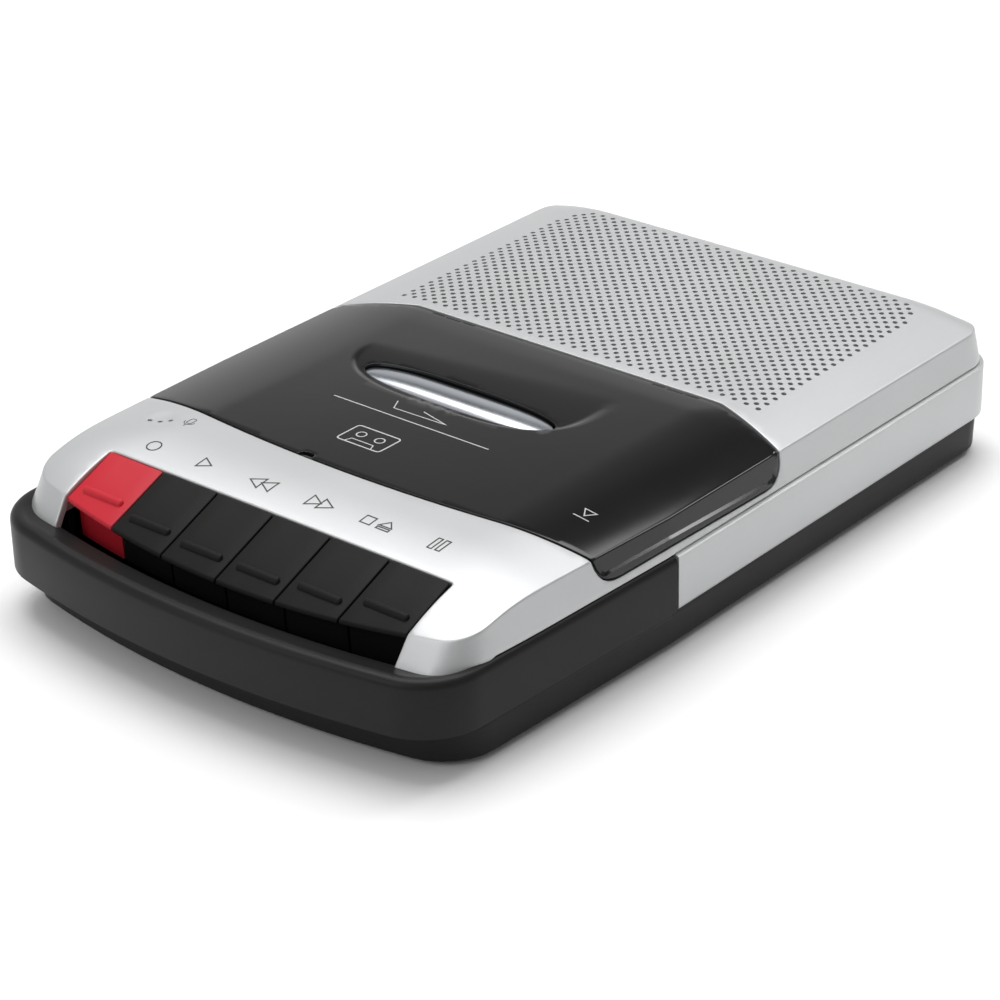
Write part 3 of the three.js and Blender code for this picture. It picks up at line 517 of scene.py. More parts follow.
class Nodes:
    """Short calls that add and link shader nodes."""

    def __init__(self, name):
        self.mat = bpy.data.materials.new(name)
        self.mat.use_nodes = True
        self.tree = self.mat.node_tree
        self.shader = self.tree.nodes["Principled BSDF"]
        self.coords = self.add("ShaderNodeTexCoord").outputs["Object"]

    def add(self, kind, **values):
        node = self.tree.nodes.new(kind)
        for key, value in values.items():
            setattr(node, key, value)
        return node

    def link(self, a, b):
        self.tree.links.new(a, b)

    def noise(self, scale, detail=3.0, roughness=0.55):
        node = self.add("ShaderNodeTexNoise")
        node.inputs["Scale"].default_value = scale
        node.inputs["Detail"].default_value = detail
        node.inputs["Roughness"].default_value = roughness
        self.link(self.coords, node.inputs["Vector"])
        return node.outputs["Fac"]

    def remap(self, source, low, high, to_low, to_high):
        return remapped(self.tree, source, low, high, to_low, to_high)

    def mix(self, factor, first, second):
        node = self.add("ShaderNodeMix", data_type="RGBA")
        self.link(factor, node.inputs["Factor"])
        for value, socket in ((first, node.inputs["A"]), (second, node.inputs["B"])):
            if isinstance(value, tuple):
                socket.default_value = (*value, 1.0)
            else:
                self.link(value, socket)
        return node.outputs["Result"]

    def bump(self, height, strength, distance, normal=None):
        node = self.add("ShaderNodeBump")
        node.inputs["Strength"].default_value = strength
        node.inputs["Distance"].default_value = distance
        self.link(height, node.inputs["Height"])
        if normal is not None:
            self.link(normal, node.inputs["Normal"])
        return node.outputs["Normal"]


def finish_of(name, colour, shade_colour, roughness, rough_span=0.05, metallic=0.0, grain=1800.0,
              grain_depth=0.00002, mottle=25.0, specular=0.5, ripple=0.0, tint=0.3):
    """A moulded, painted or metal surface: two close tones mottled together, with grain."""
    n = Nodes(name)
    s = n.shader
    s.inputs["Metallic"].default_value = metallic
    s.inputs["Specular IOR Level"].default_value = specular
    cloud = n.noise(mottle, 4.0)
    fine = n.noise(grain, 2.0, 0.6)
    blend = n.remap(cloud, 0.3, 0.7, 0.0, tint)
    body = n.mix(blend, colour, shade_colour)
    speck = n.remap(fine, 0.35, 0.75, 0.0, tint)
    n.link(n.mix(speck, body, shade_colour), s.inputs["Base Color"])
    rough = n.remap(cloud, 0.25, 0.75, roughness - rough_span, roughness + rough_span)
    n.link(rough, s.inputs["Roughness"])
    normal = n.bump(fine, 0.5, grain_depth)
    if ripple:
        normal = n.bump(n.noise(160.0, 1.0), 0.4, ripple, normal)
    n.link(normal, s.inputs["Normal"])
    return name, n.mat


def brushed(name, colour, shade_colour, roughness, stretch=(1.0, 40.0, 1.0)):
    """Metal with fine parallel brushing."""
    n = Nodes(name)
    s = n.shader
    s.inputs["Metallic"].default_value = 1.0
    mapping = n.add("ShaderNodeMapping")
    mapping.inputs["Scale"].default_value = stretch
    n.link(n.coords, mapping.inputs["Vector"])
    lines = n.add("ShaderNodeTexNoise")
    lines.inputs["Scale"].default_value = 180.0
    lines.inputs["Detail"].default_value = 5.0
    n.link(mapping.outputs["Vector"], lines.inputs["Vector"])
    fac = lines.outputs["Fac"]
    n.link(n.mix(n.remap(fac, 0.35, 0.7, 0.0, 0.6), colour, shade_colour), s.inputs["Base Color"])
    n.link(n.remap(fac, 0.3, 0.7, roughness - 0.07, roughness + 0.1), s.inputs["Roughness"])
    n.link(n.bump(fac, 0.35, 0.00002), s.inputs["Normal"])
    return name, n.mat


def make_materials():
    """Keyed by our own names, because Blender renames a material whose name the CAD has taken."""
    return dict([
        finish_of("silver_paint", (0.575, 0.582, 0.587), (0.49, 0.50, 0.51), 0.42, 0.04,
                  0.6, 2600.0, 0.000012, 18.0, tint=0.22, ripple=0.00002),
        finish_of("black_plastic", (0.012, 0.012, 0.0117), (0.018, 0.0178, 0.0175), 0.40,
                  0.05, grain=2400.0, grain_depth=0.00003, specular=0.16),
        finish_of("gloss_black", (0.009, 0.009, 0.0095), (0.012, 0.012, 0.013), 0.10, 0.015,
                  grain=900.0, grain_depth=0.000001, specular=0.42, ripple=0.00001),
        finish_of("key_black", (0.0078, 0.0072, 0.0068), (0.012, 0.0115, 0.011), 0.50, 0.05,
                  grain=2200.0, grain_depth=0.00003, specular=0.12),
        finish_of("key_red", (0.54, 0.020, 0.034), (0.49, 0.017, 0.030), 0.45, 0.05,
                  grain=2200.0, grain_depth=0.00002, tint=0.25, specular=0.2),
        finish_of("satin_metal", (0.50, 0.525, 0.56), (0.42, 0.445, 0.48), 0.24, 0.03, 1.0,
                  1600.0, 0.000008, 30.0, tint=0.2),
        brushed("steel", (0.60, 0.61, 0.62), (0.42, 0.43, 0.44), 0.32),
        brushed("brass", (0.70, 0.54, 0.27), (0.50, 0.37, 0.16), 0.28, (20.0, 20.0, 1.0)),
        finish_of("rubber", (0.020, 0.020, 0.020), (0.035, 0.034, 0.033), 0.78, 0.06,
                  grain=1400.0, grain_depth=0.00005),
        finish_of("board_green", (0.035, 0.13, 0.055), (0.05, 0.17, 0.075), 0.35, 0.05,
                  grain=700.0, grain_depth=0.00004, mottle=120.0, tint=0.6),
        finish_of("nylon", (0.78, 0.76, 0.69), (0.70, 0.67, 0.60), 0.40, 0.05, grain=1500.0),
        finish_of("ferrite", (0.045, 0.045, 0.05), (0.07, 0.068, 0.07), 0.60, 0.08, 0.3,
                  1200.0, 0.00006),
        finish_of("paper", (0.03, 0.027, 0.025), (0.05, 0.045, 0.04), 0.90, 0.05,
                  grain=1000.0, grain_depth=0.0001, tint=0.6),
        finish_of("cell_wrap", (0.06, 0.11, 0.20), (0.05, 0.09, 0.17), 0.30, 0.04, grain=900.0,
                  grain_depth=0.00001),
        finish_of("print_dark", (0.03, 0.03, 0.03), (0.05, 0.05, 0.05), 0.45, 0.04),
        finish_of("print_light", (0.55, 0.56, 0.57), (0.48, 0.49, 0.50), 0.40, 0.04),
    ])


MATERIALS = make_materials()
NODE_SLOT = {s["node"]: s["material_slot"] for s in frame["record"]["subparts"]}
NODE_BODY = {n: b for b, ns in frame["record"]["behaviour"]["bodies"].items() for n in ns}


def dress(obj, slot):
    obj.data.materials.clear()
    obj.data.materials.append(MATERIALS[slot])
    return obj


def stands_for(obj, *nodes):
    """The piece takes the first node's place: its body, its slot and its material."""
    node = nodes[0]
    dress(obj, NODE_SLOT[node])
    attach(obj, NODE_BODY[node])
    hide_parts(*nodes)
    return obj


def refined(node):
    """A copy of a CAD node's mesh with its facets smoothed over and its edges softened."""
    source = frame["nodes"][node]
    obj = bpy.data.objects.new(f"{node}_part", source.data.copy())
    bpy.context.scene.collection.objects.link(obj)
    bm = bmesh.new()
    bm.from_mesh(obj.data)
    bmesh.ops.remove_doubles(bm, verts=bm.verts, dist=0.00001)
    bmesh.ops.dissolve_limit(bm, angle_limit=math.radians(1), verts=bm.verts, edges=bm.edges)
    bm.to_mesh(obj.data)
    bm.free()
    shade(obj)
    bevelled(obj, 0.25)
    return stands_for(obj, node)


# ---- Camera ----
def make_camera():
    azimuth, elevation, roll = math.radians(40.384), math.radians(27.256), math.radians(-1.323)
    target = Vector((17.7, -21.6, 21.3)) * MM
    distance = 0.8134
    back = Vector((math.sin(azimuth) * math.cos(elevation), -math.cos(azimuth) * math.cos(elevation),
                   math.sin(elevation)))
    data = bpy.data.cameras.new("camera")
    data.lens = 113.85
    data.sensor_width = 36.0
    data.clip_start = 0.01
    camera = bpy.data.objects.new("camera", data)
    camera.location = target + back * distance
    look = (-back).to_track_quat("-Z", "Y").to_matrix().to_4x4()
    spin = Matrix.Rotation(roll, 4, "Z")
    camera.matrix_world = Matrix.Translation(camera.location) @ look @ spin
    bpy.context.scene.collection.objects.link(camera)
    bpy.context.scene.camera = camera


make_camera()


# ---- Upper housing ----
GRILLE = {"x": 60.8, "y0": 31.4, "y1": 110.5, "pitch": 3.8, "hole": 0.76, "corner": 9.0}
MIC = {"x": -58.0, "y": -66.6, "rx": 5.2, "ry": 5.6, "depth": 0.6}


def small_circle(x, y, r, sides=10):
    return arc(x, y, r, 0, 2 * math.pi, sides)[:-1]


def grille_holes():
    """Staggered rows of round holes over a field with rounded rear corners."""
    g = GRILLE
    holes = []
    rows = int((g["y1"] - g["y0"]) / (g["pitch"] / 2))
    for j in range(rows + 1):
        y = g["y0"] + j * g["pitch"] / 2
        shift = g["pitch"] / 2 if j % 2 else 0.0
        for i in range(-17, 18):
            x = i * g["pitch"] + shift
            dx = max(abs(x) - (g["x"] - g["corner"]), 0)
            dy = max(y - (g["y1"] - g["corner"]), 0)
            if abs(x) <= g["x"] + 0.1 and math.hypot(dx, dy) <= g["corner"]:
                holes.append(small_circle(x, y, g["hole"]))
    return holes


def mic_dish(p):
    q = ((p[:, 0] - MIC["x"]) / MIC["rx"]) ** 2 + ((p[:, 1] - MIC["y"]) / MIC["ry"]) ** 2
    return -MIC["depth"] * np.clip(1 - q, 0, 1) ** 1.5


def door_loop(margin=0.0):
    """The door's edge in the unfolded plan: its sides lie on the flanks, its rear edge slants to them."""
    crease = HALF_WIDTH - CREASE_INSET
    crease_z = TOP_Z - CREASE_DROP
    front_side = crease + crease_z - DOOR_FOOT_Z[0]
    rear_side = crease + crease_z - DOOR_FOOT_Z[1]
    bow_y = DOOR_FRONT_Y + DOOR_FRONT_R
    reach = math.asin(front_side / DOOR_FRONT_R)
    bow = arc(0, bow_y, DOOR_FRONT_R, -math.pi / 2 - reach, -math.pi / 2 + reach, 24)
    slant_x, slant_y = DOOR_REAR_SLANT
    right = [(rear_side, slant_y - 0.2), (crease, slant_y), (slant_x, DOOR_REAR_Y)]
    left = [(-x, y) for x, y in right[::-1]]
    radii = [8.0] + [0] * (len(bow) - 2) + [8.0, 7.0, 2.0, 4.0, 4.0, 2.0, 7.0]
    loop = resample(rounded([*bow, *right, *left], radii), 1.5)
    return loop + loop_normals(loop) * margin


def housing_outer_loop():
    """The parting edge, with the key window open to the front."""
    rim = lower_rim()[::3]
    keep = (np.abs(rim[:, 0]) > KEY_WINDOW_HALF + 0.5) | (rim[:, 1] > 0)
    rim = rim[keep]
    start = int(np.argmin(np.where(rim[:, 0] > 0, rim[:, 1] + rim[:, 0], 1e9)))
    rim = np.roll(rim, -start, axis=0)
    order = rim if rim[1][1] >= rim[0][1] or rim[1][0] > rim[0][0] else rim[::-1]
    front = order[:, 1] < -90
    tip_y = order[front & (order[:, 0] > 0)][:, 1].min()
    w, rear = KEY_WINDOW_HALF, KEY_WINDOW_REAR
    window = rounded([(-w, tip_y), (-w, rear), (w, rear), (w, tip_y)], [0, 1.0, 1.0, 0])
    return np.vstack([order, window])


SKIRT_FRONT_Y = -104.0
SKIRT_WALL = 0.9


def window_skirt():
    """The wall that closes the housing towards the keys, under the window's edge."""
    w, rear = KEY_WINDOW_HALF, KEY_WINDOW_REAR
    path = [(-w - 0.3, y) for y in np.linspace(SKIRT_FRONT_Y, rear, 12)]
    path += [(x, rear + 0.3) for x in np.linspace(-w, w, 24)]
    path += [(w + 0.3, y) for y in np.linspace(rear, SKIRT_FRONT_Y, 12)]
    path = np.array(path)
    normals = np.zeros_like(path)
    normals[:12] = (-1, 0)
    normals[12:36] = (0, 1)
    normals[36:] = (1, 0)
    outer = path + normals * SKIRT_WALL
    top_in, top_out = surface(path)[:, 2] - SKIRT_WALL, surface(outer)[:, 2] - SKIRT_WALL
    n = len(path)
    low = np.full(n, PARTING_Z + 0.2)
    rows = [np.column_stack([path, low]), np.column_stack([path, top_in]),
            np.column_stack([outer, top_out]), np.column_stack([outer, low])]
    verts = np.vstack(rows)
    faces = []
    for i in range(n - 1):
        for k in range(4):
            a, b = k * n + i, ((k + 1) % 4) * n + i
            faces.append((a, b, b + 1, a + 1))
    faces.append(tuple(k * n for k in range(4)))
    faces.append(tuple(k * n + n - 1 for k in range(4)))
    return new_object("window_skirt", verts, faces)


def housing_edge(p):
    """Radius of the housing's edges: soft round the key window, crisp elsewhere."""
    by_window = (np.abs(p[:, 0]) < KEY_WINDOW_HALF + 0.4) & (p[:, 1] < KEY_WINDOW_REAR + 0.4)
    return np.where(by_window, 0.5, 0.2)


def upper_housing():
    mic_spots = [(-60.4, -68.8), (-57.6, -67.9), (-55.2, -66.3)]
    pins = grille_holes() + [small_circle(x, y, 0.7) for x, y in mic_spots]
    rings = [superellipse(MIC["x"], MIC["y"], MIC["rx"] * k, MIC["ry"] * k, 2, 24)[:-1]
             for k in (0.45, 0.7, 0.9, 1.05)]
    sheet = panel("housing_shell", housing_outer_loop(), [door_loop(DOOR_GAP)], pins, lift=mic_dish,
                  extra=rings, edge_at=housing_edge)
    return stands_for(join_into(sheet, window_skirt()), "upper_housing")


# ---- Cassette door ----
INSERT_X, INSERT_Y = (INSERT_LO[:2] + INSERT_HI[:2]) / 2
INSERT_HALF_X, INSERT_HALF_Y = (INSERT_HI[:2] - INSERT_LO[:2]) / 2
SCOOP = {"x": -7.2, "y": 7.9, "rx": 39.2, "ry": 27.4, "power": 3.2, "wall": 1.4, "depth": 0.9}
SCOOP_FADE = (-18.0, 7.0, 6.0)  # deep at the first line, gone at the second, which runs this much askew
FOOT_STEP = {"z": (33.0, 31.2), "y": (-48.0, 6.0), "out": 0.6, "wide": 0.6}


def smooth_step(t):
    t = np.clip(t, 0, 1)
    return t * t * (3 - 2 * t)


def scoop_wall(y):
    """Width of the scoop's wall, which softens to the rear."""
    return SCOOP["wall"] * (1 + 1.5 * np.clip((y + 10) / 20, 0, 1))


def scoop(p):
    """A thumb scoop round the bar: a steep wall in front and at the sides, and a floor rising to the rear."""
    x, y = p[:, 0] - SCOOP["x"], p[:, 1] - SCOOP["y"]
    r = np.hypot(x, y) + 1e-9
    power = SCOOP["power"]
    q = (np.abs(x) / SCOOP["rx"]) ** power + (np.abs(np.minimum(y, 0)) / SCOOP["ry"]) ** power
    q = np.maximum(q, 1e-9) ** (1 / power)
    within = np.where(y < 0, r * (1 / q - 1), SCOOP["rx"] - np.abs(x))
    deep, gone, askew = SCOOP_FADE
    gone = gone + askew * np.clip(x / SCOOP["rx"], -1, 1)
    fade = np.clip((gone - p[:, 1]) / (gone - deep), 0, 1) ** 1.5
    return -SCOOP["depth"] * smooth_step(within / scoop_wall(p[:, 1])) * fade


def foot_step_x(y):
    """Where the step along the door's foot starts, in the unfolded plan."""
    share = (y - FOOT_STEP["y"][0]) / (FOOT_STEP["y"][1] - FOOT_STEP["y"][0])
    z = FOOT_STEP["z"][0] + (FOOT_STEP["z"][1] - FOOT_STEP["z"][0]) * share
    return HALF_WIDTH - CREASE_INSET + TOP_Z - CREASE_DROP - z


def door_lift(p):
    """Scoop in the top, a small ledge along the foot of each side, and a slight fall to the rear edge."""
    out = (np.abs(p[:, 0]) - foot_step_x(p[:, 1])) / FOOT_STEP["wide"]
    fall = np.clip((p[:, 1] - DOOR_REAR_Y + 9) / 9, 0, 1) ** 2
    return scoop(p) + FOOT_STEP["out"] * np.clip(out, 0, 1) - 0.25 * fall


def gap_shade_depth(p):
    """Painted shade: the dark sheet round the door lies this far under the surface, filling the gap so that
    the gap reads dark as its shadow would.
    """
    return np.full(len(p), -0.55)


def latch_notch(loop):
    """Cuts the small half-round finger notch, over the latch, into the door's front edge."""
    latch_lo, latch_hi = box_mm("door_latch")
    cx, r = (latch_lo[0] + latch_hi[0]) / 2, 2.3
    cy = DOOR_FRONT_Y + DOOR_FRONT_R - math.sqrt(DOOR_FRONT_R ** 2 - cx ** 2)
    keep = ~((np.abs(loop[:, 0] - cx) < r + 0.6) & (loop[:, 1] < 0))
    first = int(np.argmax(~keep))
    rest = np.roll(loop, -first, axis=0)
    rest = rest[~((np.abs(rest[:, 0] - cx) < r + 0.6) & (rest[:, 1] < 0))]
    notch = rounded([(cx - r - 0.5, cy), (cx - r, cy), (cx - r * 0.8, cy + 1.9), (cx + r * 0.8, cy + 1.9),
                     (cx + r, cy), (cx + r + 0.5, cy)], [0, 0.4, 1.2, 1.2, 0.4, 0], 4)
    return np.vstack([notch, rest])


def scoop_rows():
    """Rows of points that follow the scoop's wall, so that the mesh bends where the wall does."""
    rows = []
    side_y = np.arange(SCOOP["y"], SCOOP_FADE[1], 1.6)[1:]
    rim = superellipse(0, 0, SCOOP["rx"], SCOOP["ry"], SCOOP["power"], 90, math.pi, 2 * math.pi)
    far = np.linalg.norm(rim, axis=1)[:, None]
    for share in (-0.5, 0.0, 0.25, 0.5, 0.75, 1.0, 1.4):
        wall = scoop_wall(rim[:, 1:] + SCOOP["y"])
        rows.append(rim * (1 - share * wall / far) + [SCOOP["x"], SCOOP["y"]])
        x = SCOOP["rx"] - share * scoop_wall(side_y)
        rows += [np.column_stack([SCOOP["x"] + s * x, side_y]) for s in (-1, 1)]
    return rows


def cassette_door():
    loop = latch_notch(door_loop())
    ys = np.arange(DOOR_FRONT_Y, DOOR_REAR_Y, 1.2)
    rows = [np.column_stack([s * (foot_step_x(ys) + share * FOOT_STEP["wide"]), ys])
            for s in (-1, 1) for share in (-0.4, 0.0, 1.0, 1.4)]
    opening = superellipse(INSERT_X, INSERT_Y + 0.4, INSERT_HALF_X + 0.5, INSERT_HALF_Y + 0.5)[:-1]
    sheet = panel("door_shell", loop, [opening], edge_round=0.15, step=2.0, thickness=1.6, lift=door_lift,
                  extra=rows + scoop_rows())
    # Painted shade: a dark sheet under the gap round the door stands in for the shadow in that gap.
    gap_shade_sheet = panel("door_gap_shade_sheet", door_loop(0.38), [door_loop(-1.0)], edge_round=0.1, thickness=1.0,
                   lift=gap_shade_depth)
    pin_lo, pin_hi = box_mm("hinge_pin_right")
    axis = (pin_lo + pin_hi) / 2
    lugs = [cylinder(f"lug_{k}", (s * axis[0], axis[1], axis[2]), (1, 0, 0), 5, 1.25)
            for k, s in enumerate((-1, 1))]
    return stands_for(join_into(sheet, gap_shade_sheet, *lugs), "cassette_door")


def door_insert():
    """A convex satin bar, steeper in front, with rounded ends that dip below the door's surface."""
    cols, rows = 72, 20
    crest, rear_r, front_bend, end_fall = INSERT_HI[2] - 0.2, 14.0, 0.028, 1.1
    verts, faces = [], []
    for i in range(cols + 1):
        u = math.sin((-0.5 + i / cols) * math.pi)
        reach = INSERT_HALF_Y * max(1 - abs(u) ** 2.4, 0.0) ** (1 / 2.4) + 0.05
        for j in range(rows + 1):
            y = reach * (-1 + 2 * j / rows)
            fall = y * y / (2 * rear_r) if y > 0 else front_bend * abs(y) ** 2.5
            verts.append((INSERT_X + INSERT_HALF_X * u, INSERT_Y + y, crest - end_fall * u ** 4 - fall))
    wide = rows + 1
    for i in range(cols):
        for j in range(rows):
            a = i * wide + j
            faces.append((a, a + wide, a + wide + 1, a + 1))
    base = len(verts)
    verts += [(x, y, INSERT_LO[2] + 0.2) for x, y, _ in verts[:base]]
    faces += [tuple(v + base for v in f[::-1]) for f in faces[:cols * rows]]
    rim = [i * wide for i in range(cols + 1)] + [cols * wide + j for j in range(1, wide)]
    rim += [i * wide + rows for i in range(cols - 1, -1, -1)] + list(range(rows - 1, 0, -1))
    for a, b in zip(rim, rim[1:] + rim[:1]):
        faces.append((b, a, a + base, b + base))
    return stands_for(new_object("insert_bar", verts, faces), "door_insert")


# ---- Keys ----
def lofted(name, rows):
    """A closed piece through equal sections, each a list of points."""
    count = len(rows[0])
    verts = [v for row in rows for v in row]
    faces = [tuple(range(count)), tuple((len(rows) - 1) * count + k for k in range(count))[::-1]]
    for i in range(len(rows) - 1):
        for k in range(count):
            a, b = i * count + k, i * count + (k + 1) % count
            faces.append((a, a + count, b + count, b))
    return new_object(name, verts, faces)


def piano_key(node):
    lo, hi = box_mm(node)
    x = (lo[0] + hi[0]) / 2
    rear_y, rear_z = KEY_WINDOW_REAR - 0.4, hi[2]
    slope = math.tan(math.radians(KEY_SLOPE_DEG))

    def front_at(px):
        return KEY_FRONT_Y + KEY_FRONT_R - math.sqrt(KEY_FRONT_R ** 2 - px ** 2)

    def top_at(y):
        return rear_z - slope * (rear_y - y)

    def cap_section(px):
        f = front_at(px)
        return [(rear_y, top_at(rear_y)), (f + 0.3, top_at(f)), (f, top_at(f) - KEY_LIP),
                (f + 1.4, top_at(f) - 1.8), (rear_y - 3, top_at(rear_y - 3) - 2.2), (rear_y - 3, 30),
                (rear_y, 30)]

    def apron_section(px):
        f = front_at(px) + 3.4
        low = lo[2] - 1.5
        return [(f, top_at(f) - 1.4), (f + 0.6, low), (f + 2.6, low), (f + 2.4, top_at(f) - 1.4)]

    def between(half, section):
        return [[(px, y, z) for y, z in section(px)] for px in np.linspace(x - half, x + half, 5)]

    cap = bevelled(lofted(f"{node}_cap", between(KEY_WIDTH / 2, cap_section)), 0.3, 3)
    apron = bevelled(lofted("apron", between(KEY_WIDTH / 2 - 0.1, apron_section)), 0.2)
    arm = block("arm", (x - 3, rear_y - 2, SHAFT_LO[2]), (x + 3, SHAFT_HI[1] + 1.9, 33.0))
    ridge = key_ridge(x, front_at(x) + 5.4, top_at)
    return stands_for(join_into(cap, apron, ridge, bevelled(arm, 0.3)), node)


def key_ridge(x, y, top_at):
    """The raised bar across a key, with round ends and a rounded back."""
    half_x, r, height = 7.0, 1.0, 0.95
    around, rings = 32, 5
    verts, faces = [], []
    for k in range(rings + 1):
        t = k / rings * math.pi / 2
        shrink, rise = math.cos(t) * 0.75 + 0.25, math.sin(t) * height
        for i in range(around):
            a = 2 * math.pi * i / around
            end = math.copysign(half_x - r, math.cos(a)) if abs(math.cos(a)) > 1e-9 else 0.0
            px = end + r * shrink * math.cos(a)
            py = r * shrink * math.sin(a)
            verts.append((x + px, y + py, top_at(y + py) + rise - 0.1 * (k == 0)))
    for k in range(rings):
        for i in range(around):
            a, b = k * around + i, k * around + (i + 1) % around
            faces.append((a, b, b + around, a + around))
    faces.append(tuple(rings * around + i for i in range(around)))
    faces.append(tuple(range(around))[::-1])
    return new_object("ridge", verts, faces)


# ---- Handle, band and bottom case ----
def rounding(inset0, z0, inset1, z1, back=0.0, back1=None, steps=5):
    """Points of a quarter-round section corner from one point to another."""
    back1 = back if back1 is None else back1
    out = []
    for k in range(steps + 1):
        t = k / steps * math.pi / 2
        s, c = math.sin(t), 1 - math.cos(t)
        out.append((inset0 + (inset1 - inset0) * c, back + (back1 - back) * c, z0 + (z1 - z0) * s))
    return out


HANDLE_ARM = 4.2
HANDLE_BAR = 11.0
RAIL_INSET = (6.0, 4.1)  # the rails' inner and outer faces, inside the widest outline
RAIL_FRONT_Y = -45
RAIL_Z = (12.2, 15.4)


def carrying_handle():
    low, top = HANDLE_LO[2], HANDLE_HI[2]
    back = HANDLE_BAR - HANDLE_ARM
    section = [(0.5, 0, low), (0.12, 0, low + 0.12), (0, 0, low + 0.5)]
    section += rounding(0, top - 2.2, 1.9, top, 0, 0.3)
    section += [(2.4, 0.5, top), (2.9, 0.8, top - 0.15), (3.3, 1.2, top - 0.55), (3.5, 1.9, top - 0.9)]
    section += [(3.7, back - 1.6, top - 2.0), (4.0, back - 0.4, top - 2.5)]
    section += [(HANDLE_ARM, back, top - 3.4), (HANDLE_ARM, back, low)]

    def front_span(right, knee):
        side = right[:knee + 1]
        return np.vstack([(side[1:] * [-1, 1])[::-1], side])

    ring = swept("handle_grip", section, front_span)
    rails = []
    for k, side in enumerate((-1, 1)):
        x0, x1 = sorted(side * (HALF_WIDTH - inset) for inset in RAIL_INSET)
        rail = block(f"rail_{k}", (x0, RAIL_FRONT_Y, RAIL_Z[0]), (x1, HANDLE_HI[1], RAIL_Z[1]))
        rails.append(bevelled(rail, 0.3))
    return stands_for(join_into(ring, *rails), "carrying_handle")


def side_band():
    low, top = BAND_LO[2], BAND_HI[2]
    section = [(1.2, 0, low), (0.5, 0, low + 0.18), (0.1, 0, low + 0.6), (0, 0, low + 1.2)]
    section += [(0, 0, top - 0.6), (0.12, 0, top - 0.25), (0.5, 0, top - 0.04), (0.9, 0, top)]
    section += [(1.0, 0, top + 0.22), (2.0, 0, top + 0.22), (2.0, 0, low)]
    front_gap = 0.5

    def rear_span(right, knee):
        side = right[knee:].copy()
        side[0, 1] += front_gap + 0.1
        return np.vstack([side, (side[:-1] * [-1, 1])[::-1]])

    band = swept("band_shell", section, rear_span)
    wheel_lo, wheel_hi = box_mm("volume_wheel")
    slot_lo = (BAND_LO[0] - 5, (wheel_lo[1] + wheel_hi[1]) / 2 - 8, wheel_lo[2] - 0.6)
    slot_hi = (BAND_LO[0] + 10, (wheel_lo[1] + wheel_hi[1]) / 2 + 8, wheel_hi[2] + 0.6)
    inlet_lo, inlet_hi = box_mm("mains_inlet")
    cutters = [block("slot", slot_lo, slot_hi),
               block("inlet", (BAND_LO[0] - 5, inlet_lo[1] - 0.4, inlet_lo[2] - 0.4),
                     (BAND_LO[0] + 10, inlet_hi[1] + 0.4, inlet_hi[2] + 0.4))]
    for jack in ("microphone_jack", "earphone_jack"):
        lo, hi = box_mm(jack)
        centre = (BAND_LO[0], (lo[1] + hi[1]) / 2, (lo[2] + hi[2]) / 2)
        cutters.append(cylinder("socket", centre, (1, 0, 0), 12, 3.4))
    return stands_for(cut_away(band, *cutters), "side_band")


# ---- Printed marks ----
def ribbon(points, width, closed):
    """Left and right edges of a drawn line, mitred at its corners."""
    p = np.array(points, float)
    before = np.roll(p, 1, axis=0)
    after = np.roll(p, -1, axis=0)
    if not closed:
        before[0] = p[0] - (p[1] - p[0])
        after[-1] = p[-1] + (p[-1] - p[-2])
    a = p - before
    b = after - p
    a /= np.linalg.norm(a, axis=1)[:, None]
    b /= np.linalg.norm(b, axis=1)[:, None]
    na = np.column_stack([-a[:, 1], a[:, 0]])
    nb = np.column_stack([-b[:, 1], b[:, 0]])
    m = na + nb
    m /= np.maximum(np.linalg.norm(m, axis=1), 1e-9)[:, None]
    m *= (width / 2 / np.clip((m * nb).sum(axis=1), 0.35, 1))[:, None]
    return p + m, p - m


PRINT_RAISE = 0.05
PRINT_SINK = 0.15


def marks(name, lines, slot, body, lift=None):
    """Thin printed lines on the casing's surface: lines are (points, width, closed)."""
    verts, faces = [], []
    for points, width, closed in lines:
        pts = np.array(points, float)
        if closed:
            pts = resample(pts, 1.5)
        else:
            dense = resample(pts, 1.5)
            last = int(np.argmin(np.linalg.norm(dense - pts[-1], axis=1)))
            pts = dense[:last + 1]
        left, right = ribbon(pts, width, closed)
        n = len(pts)
        plan = np.vstack([left, right])
        base3 = surface(plan)
        if lift is not None:
            base3[:, 2] += lift(plan)
        upper, lower = base3 + [0, 0, PRINT_RAISE], base3 - [0, 0, PRINT_SINK]
        start = len(verts)
        verts.extend(upper)
        verts.extend(lower)
        last = n if closed else n - 1
        for i in range(last):
            j = (i + 1) % n
            tl, tr, bl, br = start, start + n, start + 2 * n, start + 3 * n
            faces.append((tl + i, tr + i, tr + j, tl + j))
            faces.append((bl + i, bl + j, br + j, br + i))
            faces.append((tl + i, tl + j, bl + j, bl + i))
            faces.append((tr + j, tr + i, br + i, br + j))
        if not closed:
            for i in (0, n - 1):
                faces.append((start + i, start + n + i, start + 3 * n + i, start + 2 * n + i))
    obj = dress(new_object(name, verts, faces), slot)
    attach(obj, body)
    return obj


def triangle(x, y, size, direction=1):
    reach = direction * size * 0.45
    return [(x - reach, y - size / 2), (x + reach, y), (x - reach, y + size / 2)]


def rectangle(x, y, w, h):
    return [(x - w / 2, y - h / 2), (x + w / 2, y - h / 2), (x + w / 2, y + h / 2), (x - w / 2, y + h / 2)]


SYMBOL_Y = -77.4
SYMBOL_SKEW = 0.035  # the row runs this much askew


